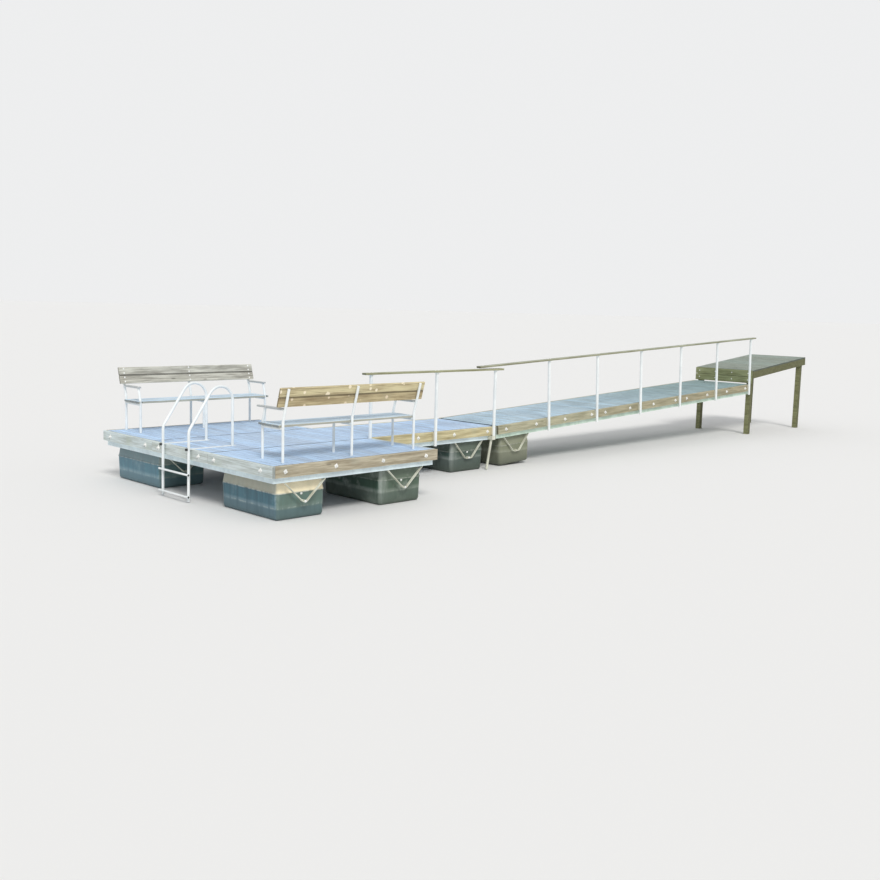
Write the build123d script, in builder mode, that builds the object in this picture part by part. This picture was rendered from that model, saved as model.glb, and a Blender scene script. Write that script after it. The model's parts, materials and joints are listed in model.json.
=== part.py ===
from build123d import *
from math import cos, radians, sin, tan
import os

os.makedirs("parts", exist_ok=True)

# Timber-decked steel modules, mm
module_length = 2630
module_width = 1350
platform_modules = 3
gangway_modules = 3
plank_thickness = 28
panel_seam = 4
fascia_height = 140
fascia_thickness = 45
fascia_joint = 3

# Rolled channel that frames each module, and the bearers inside it
frame_height = 180
channel_flange = 50
channel_wall = 6
bearer_width = 70
bearer_height = 80
joist_width = 50
bearers_per_module = 3

# Moulded pontoons, which stand on the datum plane
pontoon_height = 470
pontoon_width = 715
pontoon_end_gap = 8
pontoon_corner = 60
pontoon_upper_draft = 10
pontoon_lower_draft = 2
pontoon_shoulder = 30
pontoon_bilge = 45
ridge_drop = 148
ridge_thickness = 12
ridge_lip = 6
pontoon_side_margin = 158
pontoon_front_margin = 136
pontoon_back_margin = 100
walkway_pontoon_margin = 200
gangway_pontoon_margin = 145
gangway_pontoon_height = 466

# Steel stays that hold a pontoon's two ends
stay_thickness = 8
stay_width = 36
stay_edge = 7
stay_half_span = 310
stay_depth = 265
stay_bend = 44
platform_stay_flat = 22
walkway_stay_flat = 68
boss_radius = 14
fit_gap = 0.3

# Slopes, degrees
gangway_slope = 2.86
landing_slope = 6

# Hinges at both ends of the gangway
hinge_gap = 45
shore_gap = 40
hinge_depth = 100
knuckle_radius = 16
lug_thickness = 10
lug_side_gap = 1
pin_radius = 7
pin_fit = 0.05
pin_head_radius = 12
pin_head_thickness = 5
hinge_inset = 170

# Handrail on round posts
post_radius = 24
post_standoff = 6
posts_per_module = 2
post_end_inset = 100
deck_post_inset = 30
saddle_width = 70
saddle_height = 110
saddle_drop = 15
post_plate_width = 90
post_plate_thickness = 6
walkway_post_height = 888
gangway_post_height = 954
rail_width = 95
rail_thickness = 30
walkway_rail_start = 130
walkway_rail_end = 150
gangway_rail_overlap = 460
gangway_rail_end = 140

# Benches
bench_tube_radius = 17
bench_depth = 405
bench_knee = 480
bench_lean = 16
bench_upright_top = 868
bench_bend = 90
bench_front_margin = 188
bench_back_margin = 140
bench_frame_inset = 282
bench_frame_span = 2080
back_overhang = 100
seat_overhang = 40
middle_leg_setback = 50
seat_height = 440
seat_thickness = 28
seat_board = 132
seat_gap = 8
seat_boards = 3
seat_setback = 26
notch_half = 18
back_board = 113
back_board_gap = 10
back_board_thickness = 28
back_board_start = 174
back_boards = 2
arm_height = 620
arm_bar_thickness = 8
arm_bar_width = 40
arm_board_width = 62
arm_board_thickness = 20
front_bench_arm_overhang = 135
back_bench_arm_overhang = 25

# Swimming ladder with two hooped stringers
ladder_tube_radius = 18
ladder_spacing = 624
ladder_centre = 15
ladder_foot_clearance = 18
ladder_lean = 8
ladder_standoff = 30
hoop_radius = 180
hoop_height = 775
hoop_reach = 610
hoop_slant = 56
hoop_bend = 130
foot_bar_width = 50
foot_bar_thickness = 8
foot_bar_toe = 36
knob_radius = 16
knob_length = 22
knob_stud = 6
knob_stud_radius = 6
rung_radius = 13
rung_length = 718
rung_pitch = 280
rung_low = 80
rungs = 2

# Anchor leg and end plates beside the float's hinge
anchor_radius = 20
anchor_bracket_width = 74
anchor_bracket_depth = 95
anchor_bracket_lift = 5
anchor_lean = 95
anchor_inset = 116
anchor_foot_clearance = 12
end_plate_width = 48
end_plate_height = 190
end_plate_thickness = 6
end_plate_drop = 10
cleat_radius = 22
cleat_neck = 12
cleat_height = 44
cleat_inset = 60

# Sloping landing on the bank
landing_length = 2380
riser_clearance = 15
riser_board = 130
riser_gap = 8
riser_boards_count = 2
joist_depth = 145
leg_size = 95
leg_inset = 45
shore_beam_height = 180

platform_width = platform_modules * module_width
pontoon_length = module_width - 2 * (fascia_thickness + stay_edge + stay_width + pontoon_end_gap)
post_bay = module_length / posts_per_module
gangway_length = gangway_modules * module_length
deck_top = pontoon_height + frame_height + plank_thickness
steel_drop = plank_thickness + frame_height
slope = radians(gangway_slope)
rise = radians(landing_slope)
landing_drop = plank_thickness + joist_depth

# Hoop outline in height above the deck and reach from the platform's edge
slant = radians(hoop_slant)
hoop_centre = (hoop_reach - hoop_radius, hoop_height - hoop_radius)
slant_start = (hoop_centre[0] - hoop_radius * sin(slant), hoop_centre[1] + hoop_radius * cos(slant))
bend_height = slant_start[1] - (slant_start[0] + ladder_standoff) * tan(slant)
crown_height = slant_start[1] + (hoop_reach - slant_start[0]) * tan(slant)


def ladder_line(height):
    """How far a stringer stands off the platform's edge at a height above the datum plane."""
    straight = deck_top + bend_height - ladder_foot_clearance
    return ladder_standoff + ladder_lean * (1 - (height - ladder_foot_clearance) / straight)


# The origin is the middle of the whole jetty's length and width
ladder_outreach = ladder_line(rung_low) + ladder_tube_radius + fit_gap + 2 * rung_radius
gangway_run = hinge_gap / 2 + gangway_length + shore_gap / 2
landing_run = landing_length * cos(rise) + landing_drop * sin(rise)
platform_run = 2 * module_length + hinge_gap / 2
overall_length = ladder_outreach + platform_run + gangway_run * cos(slope) + shore_gap / 2 + landing_run
platform_left = ladder_outreach - overall_length / 2
platform_right = platform_left + module_length
walkway_right = platform_right + module_length
platform_front = -platform_width / 2
platform_back = platform_width / 2
walk_near = -module_width / 2
walk_far = module_width / 2

float_axis = (walkway_right + hinge_gap / 2, deck_top - hinge_depth)
shore_axis = (float_axis[0] + gangway_run * cos(slope), float_axis[1] + gangway_run * sin(slope))
landing_front = shore_axis[0] + shore_gap / 2
gangway_end_deck = shore_axis[1] + hinge_depth * cos(slope)
riser_bottom = gangway_end_deck + riser_clearance
landing_top = riser_bottom + riser_boards_count * riser_board + (riser_boards_count - 1) * riser_gap

# Deck planes: x runs towards the shore, z stands on the deck's top face
float_deck = Plane(origin=(platform_left, 0, deck_top))
gangway_hinge = Plane(
    origin=(float_axis[0], 0, float_axis[1]),
    x_dir=(cos(slope), 0, sin(slope)),
    z_dir=(-sin(slope), 0, cos(slope)),
)
gangway_deck_plane = gangway_hinge.offset(hinge_depth)
landing_deck_plane = Plane(
    origin=(landing_front, 0, landing_top),
    x_dir=(cos(rise), 0, sin(rise)),
    z_dir=(-sin(rise), 0, cos(rise)),
)
gangway_start = hinge_gap / 2
gangway_end = gangway_start + gangway_length


def finish(part, name):
    """Names a finished piece and writes its file."""
    part.label = name
    export_step(part, f"parts/{name}.step")


def slab(plane, x, y, z, mode=Mode.ADD):
    """Fills the spans x, y and z of a plane's own axes in the current part."""
    with BuildSketch(plane.offset(z[0])) as outline:
        with Locations(((x[0] + x[1]) / 2, (y[0] + y[1]) / 2)):
            Rectangle(x[1] - x[0], y[1] - y[0])
    extrude(outline.sketch, amount=z[1] - z[0], mode=mode)


def rod(start, end, radius, mode=Mode.ADD):
    """A round bar from one point to another in the current part."""
    line = Vector(*end) - Vector(*start)
    with BuildSketch(Plane(origin=start, z_dir=line)) as section:
        Circle(radius)
    extrude(section.sketch, amount=line.length, mode=mode)


def bent_tube(points, bends, radius):
    """A tube bent to a chain of straight runs and tangent arcs, in the current part."""
    with BuildLine() as path:
        FilletPolyline(*points, radius=bends)
    with BuildSketch(Plane(origin=path.line @ 0, z_dir=path.line % 0)) as section:
        Circle(radius)
    sweep(section.sketch, path=path.line)


def channel_frame(deck, x, y, modules):
    """Welded ring of inward-facing channel, with bearers along the bottom and a joist under the planks."""
    top = -plank_thickness
    bottom = -steel_drop
    pitch = (x[1] - x[0]) / (modules * bearers_per_module)
    with BuildPart() as frame:
        slab(deck, x, y, (bottom, top))
        inner_x = (x[0] + channel_flange, x[1] - channel_flange)
        inner_y = (y[0] + channel_flange, y[1] - channel_flange)
        slab(deck, inner_x, inner_y, (bottom, top), Mode.SUBTRACT)
        web_x = (x[0] + channel_wall, x[1] - channel_wall)
        web_y = (y[0] + channel_wall, y[1] - channel_wall)
        slab(deck, web_x, web_y, (bottom + channel_wall, top - channel_wall), Mode.SUBTRACT)
        for n in range(modules * bearers_per_module):
            middle = x[0] + (n + 0.5) * pitch
            span = (middle - bearer_width / 2, middle + bearer_width / 2)
            slab(deck, span, web_y, (bottom, bottom + bearer_height))
        middle = (y[0] + y[1]) / 2
        slab(deck, web_x, (middle - joist_width / 2, middle + joist_width / 2), (bottom + bearer_height, top))
    return frame.part


def boards(deck, x, y, length, count):
    """A row of fascia boards, butted along x."""
    with BuildPart() as row:
        for n in range(count):
            start = x + n * length
            slab(
                deck,
                (start + fascia_joint / 2, start + length - fascia_joint / 2),
                y,
                (-fascia_height, 0),
            )
    return row.part


def pontoon(frame_bottom, x, y, height):
    """A moulded float hung under a frame: a parting ridge, drafted sides above it and round shoulders."""
    parting = frame_bottom.offset(-ridge_drop)
    with BuildPart() as body:
        with BuildSketch(parting) as outline:
            with Locations((x + pontoon_width / 2, y + pontoon_length / 2)):
                RectangleRounded(pontoon_width, pontoon_length, pontoon_corner)
        extrude(outline.sketch, amount=ridge_drop, taper=pontoon_upper_draft)
        extrude(outline.sketch, amount=ridge_drop - height, taper=pontoon_lower_draft)
        up = Axis(parting.origin, parting.z_dir)
        fillet(body.faces().sort_by(up)[-1].edges(), pontoon_shoulder)
        fillet(body.faces().sort_by(up)[0].edges(), pontoon_bilge)
        with BuildSketch(parting.offset(-ridge_thickness / 2)) as band:
            with Locations((x + pontoon_width / 2, y + pontoon_length / 2)):
                RectangleRounded(
                    pontoon_width + 2 * ridge_lip,
                    pontoon_length + 2 * ridge_lip,
                    pontoon_corner + ridge_lip,
                )
        extrude(band.sketch, amount=ridge_thickness)
    return body.part


def stays(frame_bottom, places, flat):
    """Bent straps under a frame's two long channels, each with a spacer that bears on the pontoon's end."""
    end_lean = (stay_depth - 2 * boss_radius - ridge_drop) * tan(radians(pontoon_lower_draft))
    with BuildPart() as straps:
        for (x, y), (near, far) in places:
            middle = x + pontoon_width / 2
            strap_faces = ((near + stay_edge, y, 1), (far - stay_edge, y + pontoon_length, -1))
            for outer, end, inward in strap_faces:
                side = Plane(
                    origin=frame_bottom.from_local_coords(Vector(middle, outer, 0)),
                    x_dir=frame_bottom.x_dir * inward,
                    z_dir=frame_bottom.y_dir * inward,
                )
                down = side.to_local_coords(Vector(*side.origin) - frame_bottom.z_dir).Y
                slant = Vector(stay_half_span - flat, stay_depth).length / stay_depth
                inner_flat = flat - stay_thickness / 2
                outline = [
                    (-stay_half_span, 0),
                    (-flat, down * stay_depth),
                    (flat, down * stay_depth),
                    (stay_half_span, 0),
                    (stay_half_span - stay_thickness * slant, 0),
                    (inner_flat, down * (stay_depth - stay_thickness)),
                    (-inner_flat, down * (stay_depth - stay_thickness)),
                    (stay_thickness * slant - stay_half_span, 0),
                ]
                with BuildSketch(side) as strap:
                    with BuildLine():
                        Polyline(*outline, close=True)
                    make_face()
                    bends = strap.vertices().group_by(Axis.Y)
                    outer_bend, inner_bend = (bends[0], bends[1]) if down < 0 else (bends[-1], bends[-2])
                    fillet(outer_bend, stay_bend + stay_thickness)
                    fillet(inner_bend, stay_bend)
                extrude(strap.sketch, amount=stay_width)
                with BuildSketch(side) as boss:
                    with Locations((0, down * (stay_depth - boss_radius))):
                        Circle(boss_radius)
                extrude(boss.sketch, amount=abs(end - outer) + end_lean - fit_gap)
    return straps.part


def bench(name, rear, facing, arm_overhang):
    """One bench: three bent-tube frames, seat boards, back boards and two armrests."""
    first = platform_left + bench_frame_inset
    frames_x = [first, first + bench_frame_span / 2, first + bench_frame_span]
    lean = radians(bench_lean)
    bar_drop = bench_tube_radius + fit_gap

    def at(x, depth, height):
        return (x, rear + facing * depth, deck_top + height)

    def leaned(height, knee):
        return (height - knee) * tan(lean)

    seat_bar = seat_height - seat_thickness - bar_drop
    front_top = bench_depth - leaned(arm_height, seat_height)
    with BuildPart() as frames:
        for n, x in enumerate(frames_x):
            top = leaned(bench_upright_top, bench_knee)
            points = [at(x, 0, 0), at(x, 0, bench_knee), at(x, -top, bench_upright_top)]
            bent_tube(points, bench_bend, bench_tube_radius)
            reach = bench_depth - middle_leg_setback if n == 1 else bench_depth
            rod(at(x, 0, seat_bar), at(x, reach, seat_bar), bench_tube_radius)
            if n == 1:
                rod(at(x, reach, 0), at(x, reach, seat_bar), bench_tube_radius)
                continue
            points = [at(x, bench_depth, 0), at(x, bench_depth, seat_height), at(x, front_top, arm_height)]
            bent_tube(points, bench_bend, bench_tube_radius)
            above = (deck_top + arm_height, deck_top + bench_upright_top)
            leg_y = sorted((rear + facing * seat_setback, rear + facing * (bench_depth + seat_board)))
            leg_x = (x - bench_tube_radius, x + bench_tube_radius)
            slab(Plane.XY, leg_x, leg_y, above, Mode.SUBTRACT)
            rear_arm = -leaned(arm_height, bench_knee)
            span = sorted((rear + facing * rear_arm, rear + facing * front_top))
            top_z = (deck_top + arm_height - arm_bar_thickness, deck_top + arm_height)
            slab(Plane.XY, (x - arm_bar_width / 2, x + arm_bar_width / 2), span, top_z)
    finish(frames.part, f"{name}_frames")

    board_x = (frames_x[0] - seat_overhang, frames_x[-1] + seat_overhang)
    with BuildPart() as seat:
        for n in range(seat_boards):
            start = seat_setback + n * (seat_board + seat_gap)
            span = sorted((rear + facing * start, rear + facing * (start + seat_board)))
            slab(Plane.XY, board_x, span, (deck_top + seat_height - seat_thickness, deck_top + seat_height))
        for x in (frames_x[0], frames_x[-1]):
            cut = (bench_depth - notch_half, bench_depth + seat_board)
            notch = sorted(rear + facing * depth for depth in cut)
            height = (deck_top + seat_height - seat_thickness, deck_top + seat_height)
            slab(Plane.XY, (x - notch_half, x + notch_half), notch, height, Mode.SUBTRACT)
    finish(seat.part, f"{name}_seat")

    middle = (frames_x[0] + frames_x[-1]) / 2
    half = bench_frame_span / 2 + back_overhang
    back_plane = Plane(
        origin=(middle, rear, deck_top + bench_knee),
        x_dir=(-facing, 0, 0),
        z_dir=(0, facing * cos(lean), sin(lean)),
    )
    with BuildPart() as backrest:
        for n in range(back_boards):
            start = back_board_start + n * (back_board + back_board_gap)
            depth = (bar_drop, bar_drop + back_board_thickness)
            slab(back_plane, (-half, half), (start, start + back_board), depth)
    finish(backrest.part, f"{name}_backrest")

    with BuildPart() as arms:
        for x in (frames_x[0], frames_x[-1]):
            start = bench_tube_radius - leaned(arm_height, bench_knee) + bench_tube_radius / 2
            end = front_top + bench_tube_radius + arm_overhang
            span = sorted((rear + facing * start, rear + facing * end))
            top_z = (deck_top + arm_height, deck_top + arm_height + arm_board_thickness)
            slab(Plane.XY, (x - arm_board_width / 2, x + arm_board_width / 2), span, top_z)
    finish(arms.part, f"{name}_armrests")


def handrail_posts(deck, places, height):
    """Round posts along the near edge, each with a saddle on the fascia and a plate under the rail."""
    line = walk_near - post_standoff - post_radius
    with BuildPart() as posts:
        for x, foot in places:
            with BuildSketch(deck.offset(foot)) as section:
                with Locations((x, line)):
                    Circle(post_radius)
            extrude(section.sketch, amount=height - foot - post_plate_thickness)
            plate_x = (x - post_plate_width / 2, x + post_plate_width / 2)
            plate_y = (line - post_radius, line + post_radius)
            slab(deck, plate_x, plate_y, (height - post_plate_thickness, height))
            if foot < 0:
                saddle = (x - saddle_width / 2, x + saddle_width / 2)
                slab(deck, saddle, (line, walk_near), (-saddle_drop - saddle_height, -saddle_drop))
    return posts.part


def hinge_lugs(axis, direction, gap, sides, x_dir):
    """Knuckle plates that reach from a frame's end face round the hinge pin."""
    with BuildPart() as lugs:
        for y, thickness in sides:
            side = Plane(origin=(axis[0], y + thickness / 2, axis[1]), x_dir=x_dir, z_dir=(0, -1, 0))
            with BuildSketch(side) as plate:
                Circle(knuckle_radius)
                with Locations((direction * gap / 4, 0)):
                    Rectangle(gap / 2, 2 * knuckle_radius)
                Circle(pin_radius + pin_fit, mode=Mode.SUBTRACT)
            extrude(plate.sketch, amount=thickness)
    return lugs.part


def outer_lugs():
    """Places of the paired knuckles, one on each side of the gangway's own."""
    offset = lug_thickness / 2 + lug_side_gap + lug_thickness / 2
    return [(y + side * offset, lug_thickness) for y in hinge_places for side in (-1, 1)]


def inner_lugs():
    """Places of the gangway's single knuckles."""
    return [(y, lug_thickness) for y in hinge_places]


hinge_places = (walk_near + hinge_inset, walk_far - hinge_inset)
level = (1, 0, 0)
inclined = (cos(slope), 0, sin(slope))

# Platform: three modules side by side
module_y = [platform_front + n * module_width for n in range(platform_modules + 1)]
inner_left = fascia_thickness
inner_right = module_length - fascia_thickness
row_front = platform_front + fascia_thickness
row_back = platform_back - fascia_thickness
platform_spans = {
    "front": ((inner_left, inner_right), (row_front, module_y[1])),
    "middle": ((inner_left, module_length), (module_y[1], module_y[2])),
    "back": ((inner_left, inner_right), (module_y[2], row_back)),
}
for place, (span_x, span_y) in platform_spans.items():
    finish(channel_frame(float_deck, span_x, span_y, 1), f"platform_frame_{place}")
    with BuildPart() as panel:
        near_seam = 0 if place == "front" else panel_seam / 2
        far_seam = 0 if place == "back" else panel_seam / 2
        slab(float_deck, span_x, (span_y[0] + near_seam, span_y[1] - far_seam), (-plank_thickness, 0))
    finish(panel.part, f"platform_deck_{place}")

with BuildPart() as fascia_left:
    for start in module_y[:-1]:
        span = (start + fascia_joint / 2, start + module_width - fascia_joint / 2)
        slab(float_deck, (0, fascia_thickness), span, (-fascia_height, 0))
finish(fascia_left.part, "fascia_left")
with BuildPart() as fascia_front:
    slab(float_deck, (fascia_thickness, module_length), (platform_front, row_front), (-fascia_height, 0))
finish(fascia_front.part, "fascia_front")
with BuildPart() as fascia_back:
    slab(float_deck, (fascia_thickness, module_length), (row_back, platform_back), (-fascia_height, 0))
finish(fascia_back.part, "fascia_back")
with BuildPart() as fascia_right:
    slab(float_deck, (inner_right, module_length), (row_front, walk_near), (-fascia_height, 0))
    slab(float_deck, (inner_right, module_length), (walk_far, row_back), (-fascia_height, 0))
finish(fascia_right.part, "fascia_right")

# Level walkway module between the platform and the hinge
walk_inner = (walk_near + fascia_thickness, walk_far - fascia_thickness)
walkway_x = (module_length, 2 * module_length)
finish(channel_frame(float_deck, walkway_x, walk_inner, 1), "walkway_frame")
with BuildPart() as walkway_deck:
    slab(float_deck, (walkway_x[0] + panel_seam, walkway_x[1]), walk_inner, (-plank_thickness, 0))
finish(walkway_deck.part, "walkway_deck")
near_boards = (walk_near, walk_near + fascia_thickness)
far_boards = (walk_far - fascia_thickness, walk_far)
finish(boards(float_deck, module_length, near_boards, module_length, 1), "walkway_fascia_near")
finish(boards(float_deck, module_length, far_boards, module_length, 1), "walkway_fascia_far")

# Pontoons and their stays
float_bottom = float_deck.offset(-steel_drop)
right_margin = module_length - pontoon_side_margin - pontoon_width
platform_pontoons = {
    "front_left": (pontoon_side_margin, platform_front + pontoon_front_margin),
    "front_right": (right_margin, platform_front + pontoon_front_margin),
    "back_left": (pontoon_side_margin, platform_back - pontoon_back_margin - pontoon_length),
    "back_right": (right_margin, platform_back - pontoon_back_margin - pontoon_length),
}
for place, (x, y) in platform_pontoons.items():
    finish(pontoon(float_bottom, x, y, pontoon_height), f"pontoon_{place}")
platform_stay_places = [
    (spot, platform_spans[place.split("_")[0]][1]) for place, spot in platform_pontoons.items()
]
finish(stays(float_bottom, platform_stay_places, platform_stay_flat), "platform_stays")
walkway_pontoon = (2 * module_length - walkway_pontoon_margin - pontoon_width, -pontoon_length / 2)
finish(pontoon(float_bottom, *walkway_pontoon, pontoon_height), "pontoon_walkway")
finish(stays(float_bottom, [(walkway_pontoon, walk_inner)], walkway_stay_flat), "walkway_stays")

# Benches: one looks to the front edge from the back, one the other way
bench("back_bench", platform_back - bench_back_margin, -1, back_bench_arm_overhang)
bench("front_bench", platform_front + bench_front_margin, 1, front_bench_arm_overhang)

# Swimming ladder on the left edge
ladder_lines = {"near": ladder_centre - ladder_spacing / 2, "far": ladder_centre + ladder_spacing / 2}
knob_start = platform_left - ladder_line(deck_top) - ladder_tube_radius - knob_stud
for place, y in ladder_lines.items():
    with BuildPart() as hoop:
        route = [
            (platform_left - ladder_standoff - ladder_lean, y, ladder_foot_clearance),
            (platform_left - ladder_standoff, y, deck_top + bend_height),
            (platform_left + hoop_reach, y, deck_top + crown_height),
            (platform_left + hoop_reach, y, deck_top),
        ]
        bent_tube(route, [hoop_bend, hoop_radius], ladder_tube_radius)
        bar_x = (-ladder_line(deck_top), hoop_reach + foot_bar_toe)
        slab(float_deck, bar_x, (y - foot_bar_width / 2, y + foot_bar_width / 2), (0, foot_bar_thickness))
        rod((platform_left - ladder_line(deck_top), y, deck_top), (knob_start, y, deck_top), knob_stud_radius)
    finish(hoop.part, f"ladder_hoop_{place}")
with BuildPart() as ladder_knobs:
    for y in ladder_lines.values():
        rod((knob_start, y, deck_top), (knob_start - knob_length, y, deck_top), knob_radius)
finish(ladder_knobs.part, "ladder_knobs")
with BuildPart() as ladder_rungs:
    for n in range(rungs):
        height = rung_low + n * rung_pitch
        x = platform_left - ladder_line(height) - ladder_tube_radius - rung_radius - fit_gap
        ends = (ladder_centre - rung_length / 2, ladder_centre + rung_length / 2)
        rod((x, ends[0], height), (x, ends[1], height), rung_radius)
finish(ladder_rungs.part, "ladder_rungs")

# Handrail of the level part
last_post = 2 * module_length - post_end_inset
first_post = module_length - deck_post_inset
float_feet = (-fascia_height, -steel_drop, 0)
float_posts = [(last_post + n * (first_post - last_post) / 2, foot) for n, foot in enumerate(float_feet)]
finish(handrail_posts(float_deck, float_posts, walkway_post_height), "walkway_posts")
rail_line = walk_near - post_standoff - post_radius
rail_y = (rail_line - rail_width / 2, rail_line + rail_width / 2)
with BuildPart() as walkway_rail:
    rail_x = (float_posts[-1][0] - walkway_rail_start, last_post + walkway_rail_end)
    slab(float_deck, rail_x, rail_y, (walkway_post_height, walkway_post_height + rail_thickness))
finish(walkway_rail.part, "walkway_handrail")

# Anchor leg, end plates and cleat by the hinge
with BuildPart() as anchor_leg:
    leg_x = 2 * module_length - anchor_inset
    bracket_x = (leg_x - anchor_bracket_width / 2, leg_x + anchor_bracket_width / 2)
    bracket_y = (walk_inner[0] - anchor_bracket_depth, walk_inner[0])
    bracket_top = steel_drop - fascia_height
    slab(float_bottom, bracket_x, bracket_y, (anchor_bracket_lift, bracket_top))
    leg_y = walk_inner[0] - anchor_bracket_depth / 2
    top = (platform_left + leg_x, leg_y, pontoon_height + bracket_top / 2)
    foot = (top[0] - anchor_lean, leg_y, anchor_foot_clearance)
    rod(top, foot, anchor_radius)
finish(anchor_leg.part, "anchor_leg")
with BuildPart() as end_plates:
    plate_x = (2 * module_length - end_plate_width - end_plate_drop, 2 * module_length - end_plate_drop)
    plate_z = (-end_plate_drop - end_plate_height, -end_plate_drop)
    slab(float_deck, plate_x, (walk_near - end_plate_thickness, walk_near), plate_z)
    slab(float_deck, plate_x, (walk_far, walk_far + end_plate_thickness), plate_z)
finish(end_plates.part, "hinge_end_plates")
with BuildPart() as cleat:
    cleat_plane = Plane(
        origin=(walkway_right - cleat_inset, walk_near + fascia_thickness / 2, deck_top),
        z_dir=(0, -1, 0),
        x_dir=(1, 0, 0),
    )
    with BuildSketch(cleat_plane) as half_section:
        with BuildLine():
            Polyline(
                (0, 0),
                (cleat_radius, 0),
                (cleat_neck, cleat_height * 0.25),
                (cleat_neck, cleat_height * 0.6),
                (cleat_radius, cleat_height * 0.7),
                (cleat_radius * 0.8, cleat_height),
                (0, cleat_height),
                close=True,
            )
        make_face()
    revolve(half_section.sketch, axis=Axis(cleat_plane.origin, (0, 0, 1)))
finish(cleat.part, "rope_knob")

# Gangway: one run of modules between the two hinges
gangway_x = (gangway_start, gangway_end)
finish(channel_frame(gangway_deck_plane, gangway_x, walk_inner, gangway_modules), "gangway_frame")
with BuildPart() as gangway_deck:
    for n in range(gangway_modules):
        start = gangway_start + n * module_length
        seam = 0 if n == 0 else panel_seam
        slab(gangway_deck_plane, (start + seam, start + module_length), walk_inner, (-plank_thickness, 0))
finish(gangway_deck.part, "gangway_deck")
for place, span in (("near", near_boards), ("far", far_boards)):
    row = boards(gangway_deck_plane, gangway_start, span, module_length, gangway_modules)
    finish(row, f"gangway_fascia_{place}")
gangway_bottom = gangway_deck_plane.offset(-steel_drop)
gangway_pontoon = (gangway_start + gangway_pontoon_margin, -pontoon_length / 2)
finish(pontoon(gangway_bottom, *gangway_pontoon, gangway_pontoon_height), "pontoon_gangway")
finish(stays(gangway_bottom, [(gangway_pontoon, walk_inner)], walkway_stay_flat), "gangway_stays")
gangway_post_count = posts_per_module * gangway_modules
gangway_last_post = gangway_end - post_end_inset
gangway_posts = [(gangway_last_post - n * post_bay, -steel_drop) for n in range(gangway_post_count)]
finish(handrail_posts(gangway_deck_plane, gangway_posts, gangway_post_height), "gangway_posts")
with BuildPart() as gangway_rail:
    rail_x = (-gangway_rail_overlap, gangway_last_post + gangway_rail_end)
    slab(gangway_deck_plane, rail_x, rail_y, (gangway_post_height, gangway_post_height + rail_thickness))
finish(gangway_rail.part, "gangway_handrail")

# Hinges: paired knuckles on the float and the landing, single ones on the gangway
finish(hinge_lugs(float_axis, -1, hinge_gap, outer_lugs(), level), "float_hinge_lugs")
finish(hinge_lugs(shore_axis, 1, shore_gap, outer_lugs(), level), "landing_hinge_lugs")
finish(hinge_lugs(float_axis, 1, hinge_gap, inner_lugs(), inclined), "gangway_lugs_float")
finish(hinge_lugs(shore_axis, -1, shore_gap, inner_lugs(), inclined), "gangway_lugs_shore")
pin_reach = lug_thickness * 1.5 + 2 * lug_side_gap
with BuildPart() as pins:
    for axis in (float_axis, shore_axis):
        for y in hinge_places:
            rod((axis[0], y - pin_reach, axis[1]), (axis[0], y + pin_reach, axis[1]), pin_radius)
            for side in (-1, 1):
                inner = (axis[0], y + side * pin_reach, axis[1])
                outer = (axis[0], y + side * (pin_reach + pin_head_thickness), axis[1])
                rod(inner, outer, pin_head_radius)
finish(pins.part, "hinge_pins")

# Landing: riser boards, sloping deck, joists and legs on the bank
with BuildPart() as riser_boards:
    for n in range(riser_boards_count):
        bottom = riser_bottom + n * (riser_board + riser_gap)
        span = (landing_front, landing_front + fascia_thickness)
        slab(Plane.XY, span, (walk_near, walk_far), (bottom, bottom + riser_board))
finish(riser_boards.part, "riser_boards")
board_depth = fascia_thickness / cos(rise)
with BuildPart() as landing_deck:
    slab(landing_deck_plane, (board_depth, landing_length), (walk_near, walk_far), (-plank_thickness, 0))
finish(landing_deck.part, "landing_deck")
with BuildPart() as landing_joists:
    span_z = (-landing_drop, -plank_thickness)
    joist_x = (board_depth + joist_depth * tan(rise), landing_length)
    slab(landing_deck_plane, joist_x, (walk_near, walk_far), span_z)
    bay_x = (joist_x[1] - joist_x[0] - 3 * fascia_thickness) / 2
    bay_y = walk_inner[1] - joist_width / 2
    for start_x in (joist_x[0] + fascia_thickness, joist_x[0] + 2 * fascia_thickness + bay_x):
        for start_y in (walk_inner[0], joist_width / 2):
            bay = ((start_x, start_x + bay_x), (start_y, start_y + bay_y))
            slab(landing_deck_plane, *bay, span_z, Mode.SUBTRACT)
finish(landing_joists.part, "landing_joists")
leg_y = (walk_near + leg_inset, walk_far - leg_inset - leg_size)
front_leg_x = landing_front + fascia_thickness
rear_leg_x = landing_front + (landing_length - leg_inset - leg_size) * cos(rise)
with BuildPart() as landing_legs:
    for x in (front_leg_x, rear_leg_x):
        for y in leg_y:
            slab(Plane.XY, (x, x + leg_size), (y, y + leg_size), (0, landing_top + landing_length))
    split(bisect_by=landing_deck_plane.offset(-landing_drop), keep=Keep.BOTTOM)
finish(landing_legs.part, "landing_legs")
with BuildPart() as shore_beam:
    span_z = (shore_axis[1] - shore_beam_height / 2, shore_axis[1] + shore_beam_height / 2)
    slab(Plane.XY, (landing_front, landing_front + fascia_thickness), (walk_near, walk_far), span_z)
finish(shore_beam.part, "shore_beam")

print("overall length", overall_length, "deck top", deck_top)
print("float axis", float_axis, "shore axis", shore_axis)
print("landing front", landing_front, "landing top", landing_top)
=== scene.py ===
# %% [markdown]
# A floating bathing jetty, dressed for its portrait.
# The real one is a raft of timber-decked steel modules on plastic pontoons,
# with a long gangway hinged to its end.
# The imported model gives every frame, tube and pontoon in its true place.
# This lesson adds what timber and weather add: separate planks, sawn boards, bolts, stains and grain.

# %% Load the frame
import json
import math
import random

import bpy
import bmesh
from mathutils import Matrix, Vector


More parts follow.
